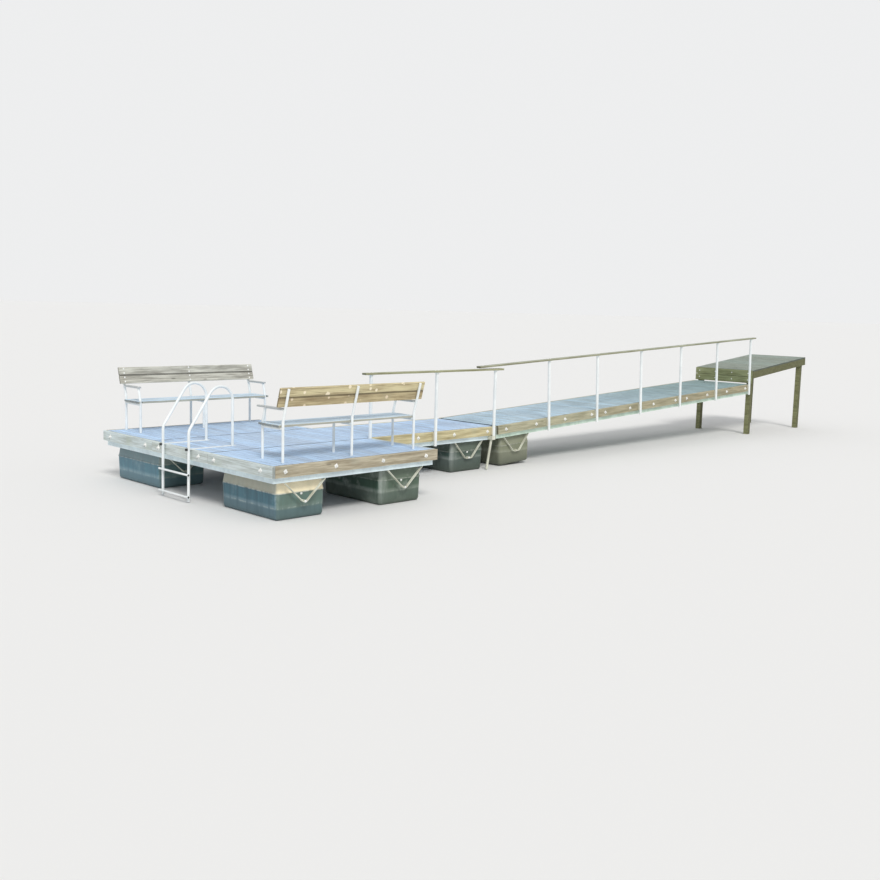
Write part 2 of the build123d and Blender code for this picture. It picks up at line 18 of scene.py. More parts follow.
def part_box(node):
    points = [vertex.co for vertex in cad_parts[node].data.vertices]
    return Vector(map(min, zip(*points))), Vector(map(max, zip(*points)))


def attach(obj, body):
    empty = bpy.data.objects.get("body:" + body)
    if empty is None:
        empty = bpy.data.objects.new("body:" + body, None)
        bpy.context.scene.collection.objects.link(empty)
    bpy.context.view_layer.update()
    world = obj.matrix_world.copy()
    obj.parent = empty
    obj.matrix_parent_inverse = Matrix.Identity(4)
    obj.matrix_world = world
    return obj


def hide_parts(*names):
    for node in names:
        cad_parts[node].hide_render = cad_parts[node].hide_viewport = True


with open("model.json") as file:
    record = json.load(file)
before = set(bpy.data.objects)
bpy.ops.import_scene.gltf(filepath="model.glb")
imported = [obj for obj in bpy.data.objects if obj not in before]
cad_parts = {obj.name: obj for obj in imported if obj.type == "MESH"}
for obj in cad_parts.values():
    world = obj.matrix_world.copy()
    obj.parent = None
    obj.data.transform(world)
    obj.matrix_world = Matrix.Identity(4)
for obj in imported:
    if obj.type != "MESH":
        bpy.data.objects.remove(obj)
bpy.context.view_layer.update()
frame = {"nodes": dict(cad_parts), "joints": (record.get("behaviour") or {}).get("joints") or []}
nodes = frame["nodes"]

# %% [markdown]
# The platform's deck is level. The gangway's rises about 3 degrees to its far end, the landing's 6 degrees.
# A board is easiest to make lying flat, so each deck gets a matrix that takes flat work to its slope.
# The hinges' places come from the model's own joints, so the two can't drift apart.

# %% Measure the decks
pins = {joint["name"]: Vector(joint["pos_m"]) for joint in frame["joints"]}
deck_low, deck_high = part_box("platform_deck_middle")
deck_top = deck_high[2]
deck_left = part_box("fascia_left")[0][0]
plank_depth = deck_high[2] - deck_low[2]
gangway_rise = math.atan2(
    pins["shore_hinge"].z - pins["float_hinge"].z,
    pins["shore_hinge"].x - pins["float_hinge"].x,
)
landing_rise = math.radians(6)
hinge_depth = 0.1


def slope(origin, rise):
    """Matrix of a deck's top: x runs up the slope, z stands on the boards."""
    return Matrix.Translation(origin) @ Matrix.Rotation(-rise, 4, "Y")


as_modelled = Matrix.Identity(4)
level_deck = slope((deck_left, 0, deck_top), 0)
gangway_start = pins["float_hinge"].x
gangway_deck = slope(pins["float_hinge"], gangway_rise) @ Matrix.Translation((0, 0, hinge_depth))
riser_low, riser_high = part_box("riser_boards")
landing_deck = slope((riser_low[0], 0, riser_high[2]), landing_rise)
print("gangway rises", round(math.degrees(gangway_rise), 3), "degrees")

# %% [markdown]
# The camera stands about 12 m from the platform's near corner and 2.5 m above it, and sees it at 45 degrees.
# The float lay a little down at its hinge end in the picture, so the camera leans with it, by 1.5 degrees.
# Its place was found by fitting corners, posts and bolts of the jetty, which line up to a pixel or two.

# %% Set the camera
near_corner = Vector((deck_left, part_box("fascia_front")[0][1], 0.0))
bearing, pitch, roll = math.radians(44.806), math.radians(7.385), math.radians(1.54)
eye_aside, eye_back, eye_height = 1.892, 11.606, 2.5437
focal_pixels, picture_pixels, sensor_width = 1036.71, 880, 36
right_side = Vector((math.cos(bearing), -math.sin(bearing), 0))
straight_on = Vector((math.sin(bearing), math.cos(bearing), 0))
eye = near_corner + eye_aside * right_side - eye_back * straight_on + Vector((0, 0, eye_height))
look = straight_on * math.cos(pitch) - Vector((0, 0, math.sin(pitch)))
upright = straight_on * math.sin(pitch) + Vector((0, 0, math.cos(pitch)))
across = right_side * math.cos(roll) + upright * math.sin(roll)
upward = upright * math.cos(roll) - right_side * math.sin(roll)


def new_object(name, data):
    """An object at the origin, in the scene."""
    made = bpy.data.objects.new(name, data)
    bpy.context.scene.collection.objects.link(made)
    return made


lens_data = bpy.data.cameras.new("portrait_camera")
lens_data.sensor_width = sensor_width
lens_data.lens = sensor_width * focal_pixels / picture_pixels
lens_data.clip_end = 500
camera = new_object("portrait_camera", lens_data)
camera.matrix_world = Matrix((across, upward, -look)).transposed().to_4x4()
camera.location = eye
bpy.context.scene.camera = camera
print("camera at", [round(v, 2) for v in eye], "lens", round(lens_data.lens, 1), "mm")

# %% [markdown]
# Shaders and Geometry Nodes trees are both graphs, so one small helper adds a node, sets its inputs
# and links whatever is handed over as a socket. A socket knows the tree it belongs to, so the other helpers
# find their tree by themselves, which keeps each material to a few readable lines.

# %% Write the graph helpers


def is_socket(value):
    """Tells a link to another node from a plain value."""
    return isinstance(value, bpy.types.NodeSocket)


def add_node(tree, kind, inputs=None, **settings):
    """Adds a node, sets its properties, then fills its inputs with values or links."""
    made = tree.nodes.new(kind)
    for key, value in settings.items():
        setattr(made, key, value)
    for key, value in (inputs or {}).items():
        if is_socket(value):
            tree.links.new(value, made.inputs[key])
        else:
            made.inputs[key].default_value = value
    return made


def follow(kind, inputs, **settings):
    """Adds a node to the tree that its inputs come from."""
    tree = next(value.id_data for value in inputs.values() if is_socket(value))
    return add_node(tree, kind, inputs, **settings)


def maths(operation, first, second=0.0):
    """A Math node's result."""
    return follow("ShaderNodeMath", {0: first, 1: second}, operation=operation).outputs[0]


def product(first, *others):
    """Several values multiplied."""
    for other in others:
        first = maths("MULTIPLY", first, other)
    return first


def vector(x=0.0, y=0.0, z=0.0):
    """A vector from three values."""
    return follow("ShaderNodeCombineXYZ", {0: x, 1: y, 2: z}).outputs[0]


def parts(whole):
    """A vector's x, y and z."""
    return follow("ShaderNodeSeparateXYZ", {0: whole}).outputs


def spread(value, low, high, to_low=0.0, to_high=1.0):
    """Maps a value's range onto another, smoothly and within its ends."""
    inputs = {"Value": value, "From Min": low, "From Max": high, "To Min": to_low, "To Max": to_high}
    return follow("ShaderNodeMapRange", inputs, interpolation_type="SMOOTHSTEP").outputs["Result"]


def blend(share, first, second, mode="MIX"):
    """Two colours mixed by a share."""
    first, second = [colour if is_socket(colour) else (*colour, 1) for colour in (first, second)]
    inputs = {0: share, 6: first, 7: second}
    return follow("ShaderNodeMix", inputs, data_type="RGBA", blend_type=mode).outputs[2]


def layered(colour, *layers):
    """A colour under layers, each a share and the colour that it brings."""
    for share, over in layers:
        colour = blend(share, colour, over)
    return colour


def tinted(colour, tint):
    """A colour seen through a tint."""
    return blend(1.0, colour, tint, "MULTIPLY")


def scaled(colour, share, lift=0.0):
    """A plain colour made darker or lighter."""
    return tuple(share * v + lift for v in colour)


def mapping(where, **moves):
    """A place that is scaled or turned."""
    return follow("ShaderNodeMapping", {"Vector": where, **moves}).outputs[0]


def noise(where, scale, detail, rough):
    """Fractal noise at a place."""
    inputs = {"Vector": where, "Scale": scale, "Detail": detail, "Roughness": rough}
    return follow("ShaderNodeTexNoise", inputs).outputs["Fac"]


def cells(where, scale, output):
    """Cells round scattered points: a colour for each, or the distance to its point."""
    return follow("ShaderNodeTexVoronoi", {"Vector": where, "Scale": scale}).outputs[output]


finishes = {}


def new_material(name):
    """Adds an empty finish: its tree, its surface shader and the shaded spot in Object coordinates."""
    made = finishes[name] = bpy.data.materials.new(name)
    made.use_nodes = True
    tree = made.node_tree
    tree.nodes.clear()
    shader = add_node(tree, "ShaderNodeBsdfPrincipled")
    add_node(tree, "ShaderNodeOutputMaterial", {"Surface": shader.outputs[0]})
    print("finish", name)
    return tree, shader, add_node(tree, "ShaderNodeTexCoord").outputs["Object"]


def surface_facing(tree):
    """The direction that the surface faces, as x, y and z."""
    return parts(add_node(tree, "ShaderNodeNewGeometry").outputs["Normal"])


def height_over(place, deck, depth):
    """Height above a plane that lies a depth below a deck's top."""
    stands_up = deck.col[2].to_3d()
    height = follow("ShaderNodeVectorMath", {0: place, 1: stands_up}, operation="DOT_PRODUCT")
    return maths("ADD", height.outputs["Value"], depth - deck.translation.dot(stands_up))


def finish_shader(shader, colour, rough, height, strength, distance):
    """Plugs colour, roughness and relief into the shader."""
    relief = follow("ShaderNodeBump", {"Height": height, "Strength": strength, "Distance": distance})
    for title, result in (("Base Color", colour), ("Roughness", rough), ("Normal", relief.outputs[0])):
        shader.id_data.links.new(result, shader.inputs[title])


# %% [markdown]
# Weathered softwood is silver on its raised grain and darker in its checks.
# Its streaks run along the board, so the noise is stretched that way: fine across, long along.
# Every board carries a number of its own in the attribute "board". It shifts the pattern and the tone,
# so that no two neighbours match. The attribute "arris" is high where an edge wears,
# and low along the edges that face the gap in a bench's back, which get painted shade.

# %% Make the timber finishes


def timber(
    name, pale, dark, along, rise, stain, tone, knots,
    side=(1, 1, 1), sheen_and_shade=None, knot=None, knot_run=2.4, knot_reach=0.13,
):
    """Weathered sawn timber whose grain runs along x or y of its deck's plane."""
    tree, shader, place = new_material(name)
    marks = [add_node(tree, "ShaderNodeAttribute", attribute_name=mark) for mark in ("board", "arris")]
    board, arris = [mark.outputs["Fac"] for mark in marks]
    flat = mapping(place, Rotation=(0, rise, 0))
    shift = vector(product(board, 31.0), product(board, 17.0), board)
    moved = follow("ShaderNodeVectorMath", {0: flat, 1: shift}, operation="ADD").outputs[0]

    def stretched(run, across_grain):
        """The board's own place, scaled differently along and across the grain."""
        scale = (run, across_grain, across_grain) if along == "x" else (across_grain, run, across_grain)
        return mapping(moved, Scale=scale)

    grain = noise(stretched(1.6, 55.0), 2.2, 6.0, 0.62)
    figure = noise(stretched(0.9, 9.0), 2.6, 3.0, 0.5)
    weather = noise(moved, 3.1, 5.0, 0.6)
    from_knot = cells(stretched(knot_run, 9.0), 1.0, "Distance")
    wood = maths("ADD", product(grain, 0.55), product(figure, 0.45))
    colour = layered(
        blend(spread(wood, 0.38, 0.62), dark, pale),
        (spread(weather, 0.5, 0.75, 0.0, 0.45), stain),
        (spread(from_knot, knot_reach - 0.07, knot_reach, knots, 0.0), knot or scaled(dark, 0.5)),
        (spread(grain, 0.37, 0.29, 0.0, 0.6), scaled(dark, 0.5)),
    )
    faces = surface_facing(tree)
    # Faces that don't face up are tinted by side: painted shade on the boards' sides and undersides, which
    # also darkens the seams between planks.
    colour = tinted(colour, blend(spread(faces[2], 0.35, 0.8), side, (1, 1, 1)))
    # End faces are painted darker: partly end grain's own darker tone, partly painted shade in the seams
    # between boards.
    end_face = maths("ABSOLUTE", faces[0 if along == "x" else 1])
    colour = blend(spread(end_face, 0.85, 0.95, 0.0, 0.65), colour, scaled(dark, 0.4))
    # A run along x tints the planks: painted sheen at its start, painted shade and some dirt at its end.
    if sheen_and_shade:
        start, stop, near_tint, far_tint = sheen_and_shade
        colour = tinted(colour, blend(spread(parts(place)[0], start, stop), near_tint, far_tint))
    warm = scaled((1.03, 0.98, 0.94), 1 - tone / 2)
    cool = scaled((0.98, 1.01, 1.03), 1 + tone / 2)
    ragged = maths("ADD", arris, product(weather, 0.3))
    colour = layered(
        tinted(colour, blend(board, warm, cool)),
        (spread(ragged, 1.05, 1.2, 0.0, 0.5), tuple(min(1, v) for v in scaled(pale, 1.25, 0.06))),
        # Edges whose arris is -1 get painted shade: the gap between a bench back's two boards.
        (spread(arris, -0.76, -0.97, 0.0, 0.7), scaled(dark, 0.4)),
    )
    finish_shader(shader, colour, spread(grain, 0.3, 0.7, 0.92, 0.7), wood, 0.55, 0.003)


# Side tints darken the faces that don't face up: painted shade on the boards' sides and undersides.
shaded_side = (0.4, 0.4, 0.4)
warm_side_shade = (0.8, 0.76, 0.66)
# Along the gangway the planks go from paler and bluer to darker and greener: painted sky sheen near the
# float, painted shade and some dirt towards the bank.
gangway_sheen_and_shade = (gangway_start + 1, gangway_start + 7.5, (1.18, 1.16, 1.27), (0.65, 0.69, 0.66))
# The deck planks' pale blue is partly painted sky reflection on their tops.
timber(
    "deck_plank_wood", (0.56, 0.745, 0.98), (0.41, 0.54, 0.745), "y", 0, (0.44, 0.55, 0.67), 0.16, 0.2,
    shaded_side,
)
# The gangway planks' near-black side tint is painted shade in their seams and in the hinge gap.
timber(
    "gangway_plank_wood", (0.47, 0.63, 0.69), (0.32, 0.435, 0.475), "y", gangway_rise, (0.36, 0.44, 0.44),
    0.2, 0.25, (0.12, 0.13, 0.14), gangway_sheen_and_shade,
)
# The landing planks' dark green is partly painted shade.
timber(
    "landing_plank_wood", (0.34, 0.4, 0.36), (0.2, 0.24, 0.21), "y", landing_rise, (0.2, 0.23, 0.15),
    0.2, 0.25, shaded_side,
)
# The left and front edging woods differ partly by their own tone, partly by painted sky light on the left
# faces and painted sunlight on the front ones.
timber("left_edge_wood", (0.67, 0.76, 0.78), (0.43, 0.48, 0.465), "y", 0, (0.47, 0.53, 0.43), 0.14, 0.4)
timber("front_edge_wood", (0.54, 0.505, 0.39), (0.285, 0.25, 0.18), "x", 0, (0.41, 0.43, 0.36), 0.14, 0.6)
timber("walkway_edge_wood", (0.66, 0.61, 0.385), (0.39, 0.34, 0.19), "x", 0, (0.41, 0.45, 0.33), 0.14, 0.6)
timber(
    "gangway_edge_wood", (0.46, 0.43, 0.3), (0.265, 0.25, 0.165), "x", gangway_rise, (0.28, 0.33, 0.25),
    0.24, 0.6,
)
timber(
    "near_bench_wood", (0.64, 0.56, 0.34), (0.33, 0.26, 0.15), "x", 0, (0.44, 0.41, 0.28), 0.3, 0.85,
    knot=(0.88, 0.77, 0.58), knot_run=9.0, knot_reach=0.24,
)
timber("far_bench_wood", (0.66, 0.66, 0.59), (0.285, 0.275, 0.24), "x", 0, (0.49, 0.49, 0.42), 0.16, 0.7)
# The seat's pale blue is partly painted sky reflection on the boards' tops; its warm side tint is painted
# shade on the sides and undersides, with the edges' browner wood.
timber(
    "seat_wood", (0.66, 0.84, 1.0), (0.42, 0.54, 0.67), "x", 0, (0.48, 0.58, 0.65), 0.16, 0.4,
    (0.74, 0.6, 0.44),
)
timber("rail_wood", (0.46, 0.48, 0.34), (0.26, 0.26, 0.16), "x", 0, (0.32, 0.36, 0.24), 0.1, 0.5, warm_side_shade)
timber(
    "gangway_rail_wood", (0.43, 0.46, 0.37), (0.25, 0.26, 0.19), "x", gangway_rise, (0.3, 0.34, 0.26),
    0.1, 0.5, warm_side_shade,
)
timber("landing_wood", (0.32, 0.35, 0.19), (0.17, 0.18, 0.085), "y", 0, (0.19, 0.23, 0.115), 0.2, 0.6)

# %% [markdown]
# Hot-dipped steel is pale grey with soft crystals of zinc, called spangle, and white bloom where it
# stayed wet. The thin tubes of the ladder, posts and benches are brighter than the channels below the deck,
# so the two get their own tone from the same recipe. Wood has stained the plates that hold the posts' feet.

# %% Make the metal finishes
walk_low, walk_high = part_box("walkway_handrail")
post_line = (walk_low[1] + walk_high[1]) / 2
post_fit, saddle_depth = 0.001, 0.012


def galvanised(name, pale, dark, bloom, rough_low, rough_high, metal, saddle=None):
    """Zinc-coated steel with spangle, bloom and a little grime, and wood-stained saddles behind the posts."""
    tree, shader, place = new_material(name)
    grey = follow("ShaderNodeSeparateColor", {0: cells(place, 70.0, "Color")}).outputs[0]
    cloud = noise(place, 5.0, 6.0, 0.6)
    speck = noise(place, 60.0, 3.0, 0.6)
    colour = layered(
        blend(spread(cloud, 0.35, 0.65), dark, pale),
        (product(grey, 0.18), dark),
        (spread(speck, 0.58, 0.75, 0.0, 0.5), bloom),
    )
    if saddle:
        deck, tannin = saddle
        below_deck = maths("LESS_THAN", height_over(place, deck, saddle_depth), 0.0)
        behind_post = maths("GREATER_THAN", parts(place)[1], post_line - post_fit)
        level_faces = [maths("ABSOLUTE", face) for face in surface_facing(tree)[:2]]
        flat_face = maths("GREATER_THAN", maths("MAXIMUM", *level_faces), 0.995)
        colour = blend(product(flat_face, below_deck, behind_post, 0.85), colour, tannin)
    rough = spread(maths("ADD", grey, cloud), 0.3, 1.5, rough_low, rough_high)
    finish_shader(shader, colour, rough, speck, 0.2, 0.001)
    shader.inputs["Metallic"].default_value = metal


tube_tones = ((0.9, 0.94, 0.95), (0.78, 0.83, 0.85), (0.95, 0.97, 0.96), 0.3, 0.5, 0.05)
galvanised("frame_steel", (0.8, 0.94, 0.99), (0.63, 0.74, 0.79), (0.88, 0.94, 0.95), 0.4, 0.62, 0.1)
galvanised("gangway_steel", (0.68, 0.84, 0.74), (0.5, 0.64, 0.54), (0.76, 0.86, 0.78), 0.4, 0.62, 0.1)
galvanised("tube_steel", *tube_tones)
galvanised("walkway_post_steel", *tube_tones, (level_deck, (0.6, 0.54, 0.38)))
galvanised("gangway_post_steel", *tube_tones, (gangway_deck, (0.52, 0.5, 0.38)))
galvanised("strap_steel", (0.8, 0.82, 0.71), (0.54, 0.54, 0.45), (0.9, 0.92, 0.83), 0.4, 0.6, 0.05)
# The hinge plates' dark tone is dirt and painted shade of the hinge gap.
galvanised("dirt_and_shade_plate_steel", (0.4, 0.44, 0.4), (0.26, 0.29, 0.26), (0.55, 0.58, 0.54), 0.45, 0.65, 0.1)
galvanised("bolt_steel", (0.96, 0.97, 0.95), (0.78, 0.8, 0.79), (0.97, 0.97, 0.95), 0.3, 0.5, 0.15)

# %% [markdown]
# A pontoon is rotation-moulded plastic, blue or dark green. Silt has dried tan above its parting ridge,
# rain has washed streaks down its sides, and algae darkens it below the line it floats at.
# Stains follow height, and Object coordinates hold height directly, so the ridge and the floating line
# are just numbers in the shader.

# %% Make the pontoon finishes
ridge_drop = 0.356
draught, trim = 0.139, 0.0168
corner_highlight_reach = (0.17, 0.02)


def pontoon_plastic(name, base, shade, silt, end_silt, side_silt, dust, deck, bleach=0.2, corner_highlight_end=None):
    """Moulded plastic with silt above its ridge, chalky streaks, painted highlights on its rounded corners
    and along its ridge, and algae low down.
    """
    tree, shader, place = new_material(name)
    spot = parts(place)
    faces = surface_facing(tree)
    above_ridge = height_over(place, deck, ridge_drop)
    floats_at = maths("ADD", draught, product(maths("SUBTRACT", spot[0], deck_left), trim))
    streak = noise(mapping(place, Scale=(11.0, 11.0, 1.3)), 1.6, 5.0, 0.6)
    cloud = noise(place, 6.0, 6.0, 0.62)
    speck = noise(place, 130.0, 3.0, 0.6)
    ends = maths("ABSOLUTE", faces[1])
    corner = product(ends, maths("ABSOLUTE", faces[0]))
    ripple = product(maths("SUBTRACT", cloud, 0.5), 0.03)
    clear = maths("ADD", maths("SUBTRACT", spot[2], floats_at), ripple)
    # This pale colour is real chalky bleaching on clouds and above the floating line, and a painted highlight
    # on the rounded corners and near the left end.
    chalk_and_highlight = scaled(base, 0.9, bleach)
    colour = layered(
        blend(spread(streak, 0.3, 0.7), shade, base),
        (spread(cloud, 0.5, 0.78 - 0.6 * bleach ** 2, 0.0, 2 * bleach), chalk_and_highlight),
        # Rounded vertical corners get a painted highlight.
        (product(spread(corner, 0.12, 0.4, 0.0, 0.8), spread(cloud, 0.35, 0.6)), chalk_and_highlight),
        (product(spread(clear, 0.055, 0.012, 0.0, 0.5), spread(streak, 0.3, 0.6, 0.4, 1.0)), chalk_and_highlight),
        (spread(ends, 0.3, 0.8, 0.0, 0.55), dust),
    )
    # Near its left end the front face is paler: a painted highlight along the rounded corner, with chalky
    # streaks.
    if corner_highlight_end is not None:
        left_end_run = spread(spot[0], *(corner_highlight_end + reach for reach in corner_highlight_reach))
        highlight_and_streaks = product(left_end_run, spread(ends, 0.1, 0.6), spread(streak, 0.3, 0.6, 0.3, 0.75))
        colour = blend(highlight_and_streaks, colour, chalk_and_highlight)
    coat = spread(ends, 0.3, 0.8, side_silt, end_silt)
    coat = product(coat, spread(cloud, 0.25, 0.55, 0.8, 1.0), spread(above_ridge, -0.004, 0.008))
    # A thin pale band on the ridge is a painted highlight of the moulding's parting edge; the same share sets
    # the scum at the floating line.
    highlight_and_scum_share = 0.2 + 0.36 * end_silt
    ridge_highlight = spread(maths("ABSOLUTE", above_ridge), 0.012, 0.005, 0.0, highlight_and_scum_share)
    scum = product(spread(maths("ABSOLUTE", clear), 0.01, 0.002), spread(streak, 0.4, 0.6), 0.6 * highlight_and_scum_share)
    colour = layered(
        colour,
        (coat, silt),
        # Painted highlight along the ridge.
        (product(ridge_highlight, spread(streak, 0.35, 0.6)), (0.66, 0.68, 0.62)),
        (spread(clear, 0.01, -0.03, 0.0, 0.6), scaled(base, 0.55, 0.012)),
        (spread(clear, -0.03, -0.2, 0.0, 0.45), (0.05, 0.065, 0.045)),
        (scum, (0.55, 0.57, 0.5)),
        (spread(speck, 0.62, 0.72, 0.0, 0.35), shade),
    )
    relief = maths("ADD", cloud, product(speck, 0.3))
    finish_shader(shader, colour, spread(streak, 0.3, 0.7, 0.4, 0.66), relief, 0.25, 0.004)


pontoon_plastic(
    "silted_blue_plastic", (0.075, 0.18, 0.23), (0.035, 0.105, 0.145), (0.98, 0.87, 0.62), 0.98, 0.42,
    (0.16, 0.21, 0.13), level_deck,
)
pontoon_plastic(
    "clean_blue_plastic", (0.11, 0.245, 0.31), (0.07, 0.175, 0.235), (0.42, 0.44, 0.38), 0.5, 0.3,
    (0.14, 0.2, 0.15), level_deck,
)
pontoon_plastic(
    "mossy_green_plastic", (0.075, 0.135, 0.1), (0.045, 0.09, 0.065), (0.36, 0.4, 0.32), 0.2, 0.25,
    (0.09, 0.125, 0.085), level_deck, 0.36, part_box("pontoon_front_right")[0][0],
)
pontoon_plastic(
    "dark_green_plastic", (0.05, 0.095, 0.078), (0.03, 0.06, 0.05), (0.3, 0.32, 0.25), 0.2, 0.2,
    (0.07, 0.1, 0.075), level_deck, 0.3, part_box("pontoon_walkway")[0][0],
)
pontoon_plastic(
    "pale_green_plastic", (0.24, 0.26, 0.18), (0.15, 0.17, 0.12), (0.36, 0.36, 0.27), 0.25, 0.2,
    (0.22, 0.235, 0.16), gangway_deck,
)

# %% [markdown]
# The ladder's end knobs and the rope knob by the hinge are dull black rubber, with a paler bloom in folds.
# The armrests are grey plastic. Both are small mouldings, so they share a recipe.
# Then every node of the model takes its finish by the end of its name, and what no line names is frame steel.

# %% Make the mouldings' finishes and paint the model


def moulded(name, base, pale, rough_low, rough_high):
    """A small moulding with a faint bloom and pits."""
    _, shader, place = new_material(name)
    cloud = noise(place, 25.0, 5.0, 0.6)
    pits = noise(place, 220.0, 2.0, 0.5)
    colour = blend(spread(cloud, 0.45, 0.75, 0.0, 0.6), base, pale)
    finish_shader(shader, colour, spread(cloud, 0.3, 0.7, rough_low, rough_high), pits, 0.2, 0.001)


moulded("black_rubber", (0.018, 0.018, 0.02), (0.06, 0.06, 0.062), 0.55, 0.8)
moulded("arm_plastic", (0.44, 0.47, 0.48), (0.58, 0.6, 0.6), 0.45, 0.65)
finish_by_ending = {
    "pontoon_front_left": "silted_blue_plastic",
    "pontoon_back_left": "clean_blue_plastic",
    ("pontoon_front_right", "pontoon_back_right"): "mossy_green_plastic",
    "pontoon_walkway": "dark_green_plastic",
    "pontoon_gangway": "pale_green_plastic",
    ("_knobs", "_knob"): "black_rubber",
    "armrests": "arm_plastic",
    ("landing_joists", "landing_legs", "shore_beam", "riser_boards"): "landing_wood",
    ("stays", "anchor_leg"): "strap_steel",
    "hinge_end_plates": "dirt_and_shade_plate_steel",
    "walkway_posts": "walkway_post_steel",
    "gangway_posts": "gangway_post_steel",
    "gangway_frame": "gangway_steel",
    ("bench_frames", "ladder_hoop_near", "ladder_hoop_far", "ladder_rungs"): "tube_steel",
}
for name, piece in nodes.items():
    fitting = [finish for ending, finish in finish_by_ending.items() if name.endswith(ending)]
    for held in piece.material_slots:
        held.material = finishes[fitting[0] if fitting else "frame_steel"]
print("finishes on", len(nodes), "nodes")

# %% [markdown]
# Deck panels are short boards laid across each module with a few millimetres of air between them,
# fixed with two screws at each joist. A rule lays them, so Geometry Nodes lay them: a line of points,
# a board on each, a small grid of screws on each board. Count and pitch follow from the panel's length.

# %% Build the plank tree


def start_tree(name, sizes, others):
    """A Geometry Nodes tree that takes points and named inputs."""
    tree = bpy.data.node_groups.new(name, "GeometryNodeTree")
    for way in ("INPUT", "OUTPUT"):
        tree.interface.new_socket("Geometry", in_out=way, socket_type="NodeSocketGeometry")
    for title, kind in {**dict.fromkeys(sizes, "Float"), **others}.items():
        tree.interface.new_socket(title, in_out="INPUT", socket_type="NodeSocket" + kind)
    return tree, add_node(tree, "NodeGroupInput").outputs


def step(kind, inputs, **settings):
    """The first result of a Geometry Nodes step, named without its prefix."""
    return follow("GeometryNode" + kind, inputs, **settings).outputs[0]


def copies(shape, points, sink=(0, 0, 0), **turn):
    """Real copies of a shape on points, sunk or turned if asked."""
    placed = step("InstanceOnPoints", {"Points": points, "Instance": shape, **turn})
    moved = step("TranslateInstances", {"Instances": placed, "Translation": sink})
    return step("RealizeInstances", {"Geometry": moved})


def joined(*geometry):
    """Several pieces of geometry in one."""
    tree = geometry[0].id_data
    together = add_node(tree, "GeometryNodeJoinGeometry")
    for one in geometry:
        tree.links.new(one, together.inputs[0])
    return together.outputs[0]


def painted(geometry, material):
    """Geometry with its material set."""
    return step("SetMaterial", {"Geometry": geometry, "Material": material})


def grow(tree, values, place, points=()):
    """Runs a tree with the given inputs on loose points of a plane and lays the plain mesh in its place."""
    loose = bpy.data.meshes.new("points")
    loose.from_pydata([(x, y, 0) for x, y in points], [], [])
    holder = new_object("holder", loose)
    modifier = holder.modifiers.new("rule", "NODES")
    modifier.node_group = tree
    for socket in tree.interface.items_tree:
        if socket.name in values:
            modifier[socket.identifier] = values[socket.name]
    graph = bpy.context.evaluated_depsgraph_get()
    seen = holder.evaluated_get(graph)
    mesh = bpy.data.meshes.new_from_object(seen, preserve_all_data_layers=True, depsgraph=graph)
    bpy.data.objects.remove(holder)
    mesh.transform(place)
    return mesh


screw_depth, screw_sink, screw_inset, screw_share = 0.0016, 0.0012, 0.05, 0.55
drift_scale, drift_middle = 7.0, 0.62
plank_tree, given = start_tree(
    "planks_on_a_module",
    ("Panel length", "Panel width", "Board width", "Gap", "Board depth", "Screw radius", "Cup"),
    {"Seed": "Int", "Wood": "Material", "Steel": "Material"},
)
run = maths("ADD", given["Panel length"], given["Gap"])
count = maths("ROUND", maths("DIVIDE", run, maths("ADD", given["Board width"], given["Gap"])))
pitch_x = maths("DIVIDE", run, count)
board_x = maths("SUBTRACT", pitch_x, given["Gap"])
first_board = vector(product(board_x, 0.5))
line = step("MeshLine", {"Count": count, "Start Location": first_board, "Offset": vector(pitch_x)})
board_size = vector(board_x, given["Panel width"], given["Board depth"])
plank = step("MeshCube", {"Size": board_size, "Vertices X": 3, "Vertices Y": 9, "Vertices Z": 2})
laid = step("InstanceOnPoints", {"Points": line, "Instance": plank})
number = follow("FunctionNodeRandomValue", {"Seed": given["Seed"]}, data_type="FLOAT").outputs[1]
number_mark = {"Geometry": laid, "Name": "board", "Value": number}
numbered = step("StoreNamedAttribute", number_mark, data_type="FLOAT", domain="INSTANCE")
half_depth = product(given["Board depth"], -0.5)
seated = step("TranslateInstances", {"Instances": numbered, "Translation": vector(z=half_depth)})
loose_boards = step("RealizeInstances", {"Geometry": seated})
spot = add_node(plank_tree, "GeometryNodeInputPosition").outputs[0]
drift = follow("ShaderNodeTexNoise", {"Vector": spot, "Scale": drift_scale, "Detail": 1.0}).outputs["Fac"]
lift = vector(z=product(maths("SUBTRACT", drift, drift_middle), given["Cup"]))
top_only = maths("GREATER_THAN", parts(spot)[2], half_depth)
warped = step("SetPosition", {"Geometry": loose_boards, "Selection": top_only, "Offset": lift})
screw_x = product(board_x, screw_share)
screw_y = maths("SUBTRACT", given["Panel width"], screw_inset)
screw_grid = step("MeshGrid", {"Size X": screw_x, "Size Y": screw_y, "Vertices X": 2, "Vertices Y": 3})
screw_spots = copies(screw_grid, line)
head = step("MeshCylinder", {"Vertices": 8, "Radius": given["Screw radius"], "Depth": screw_depth})
screws = painted(copies(head, screw_spots, sink=(0, 0, -screw_sink)), given["Steel"])
add_node(plank_tree, "NodeGroupOutput", {0: joined(painted(warped, given["Wood"]), screws)})
print("plank tree has", len(plank_tree.nodes), "nodes")

# %% [markdown]
# Each module's panel is grown flat at its own corner, moved to its deck's slope
# and joined with the others that ride on the same body.

# %% Lay the decks


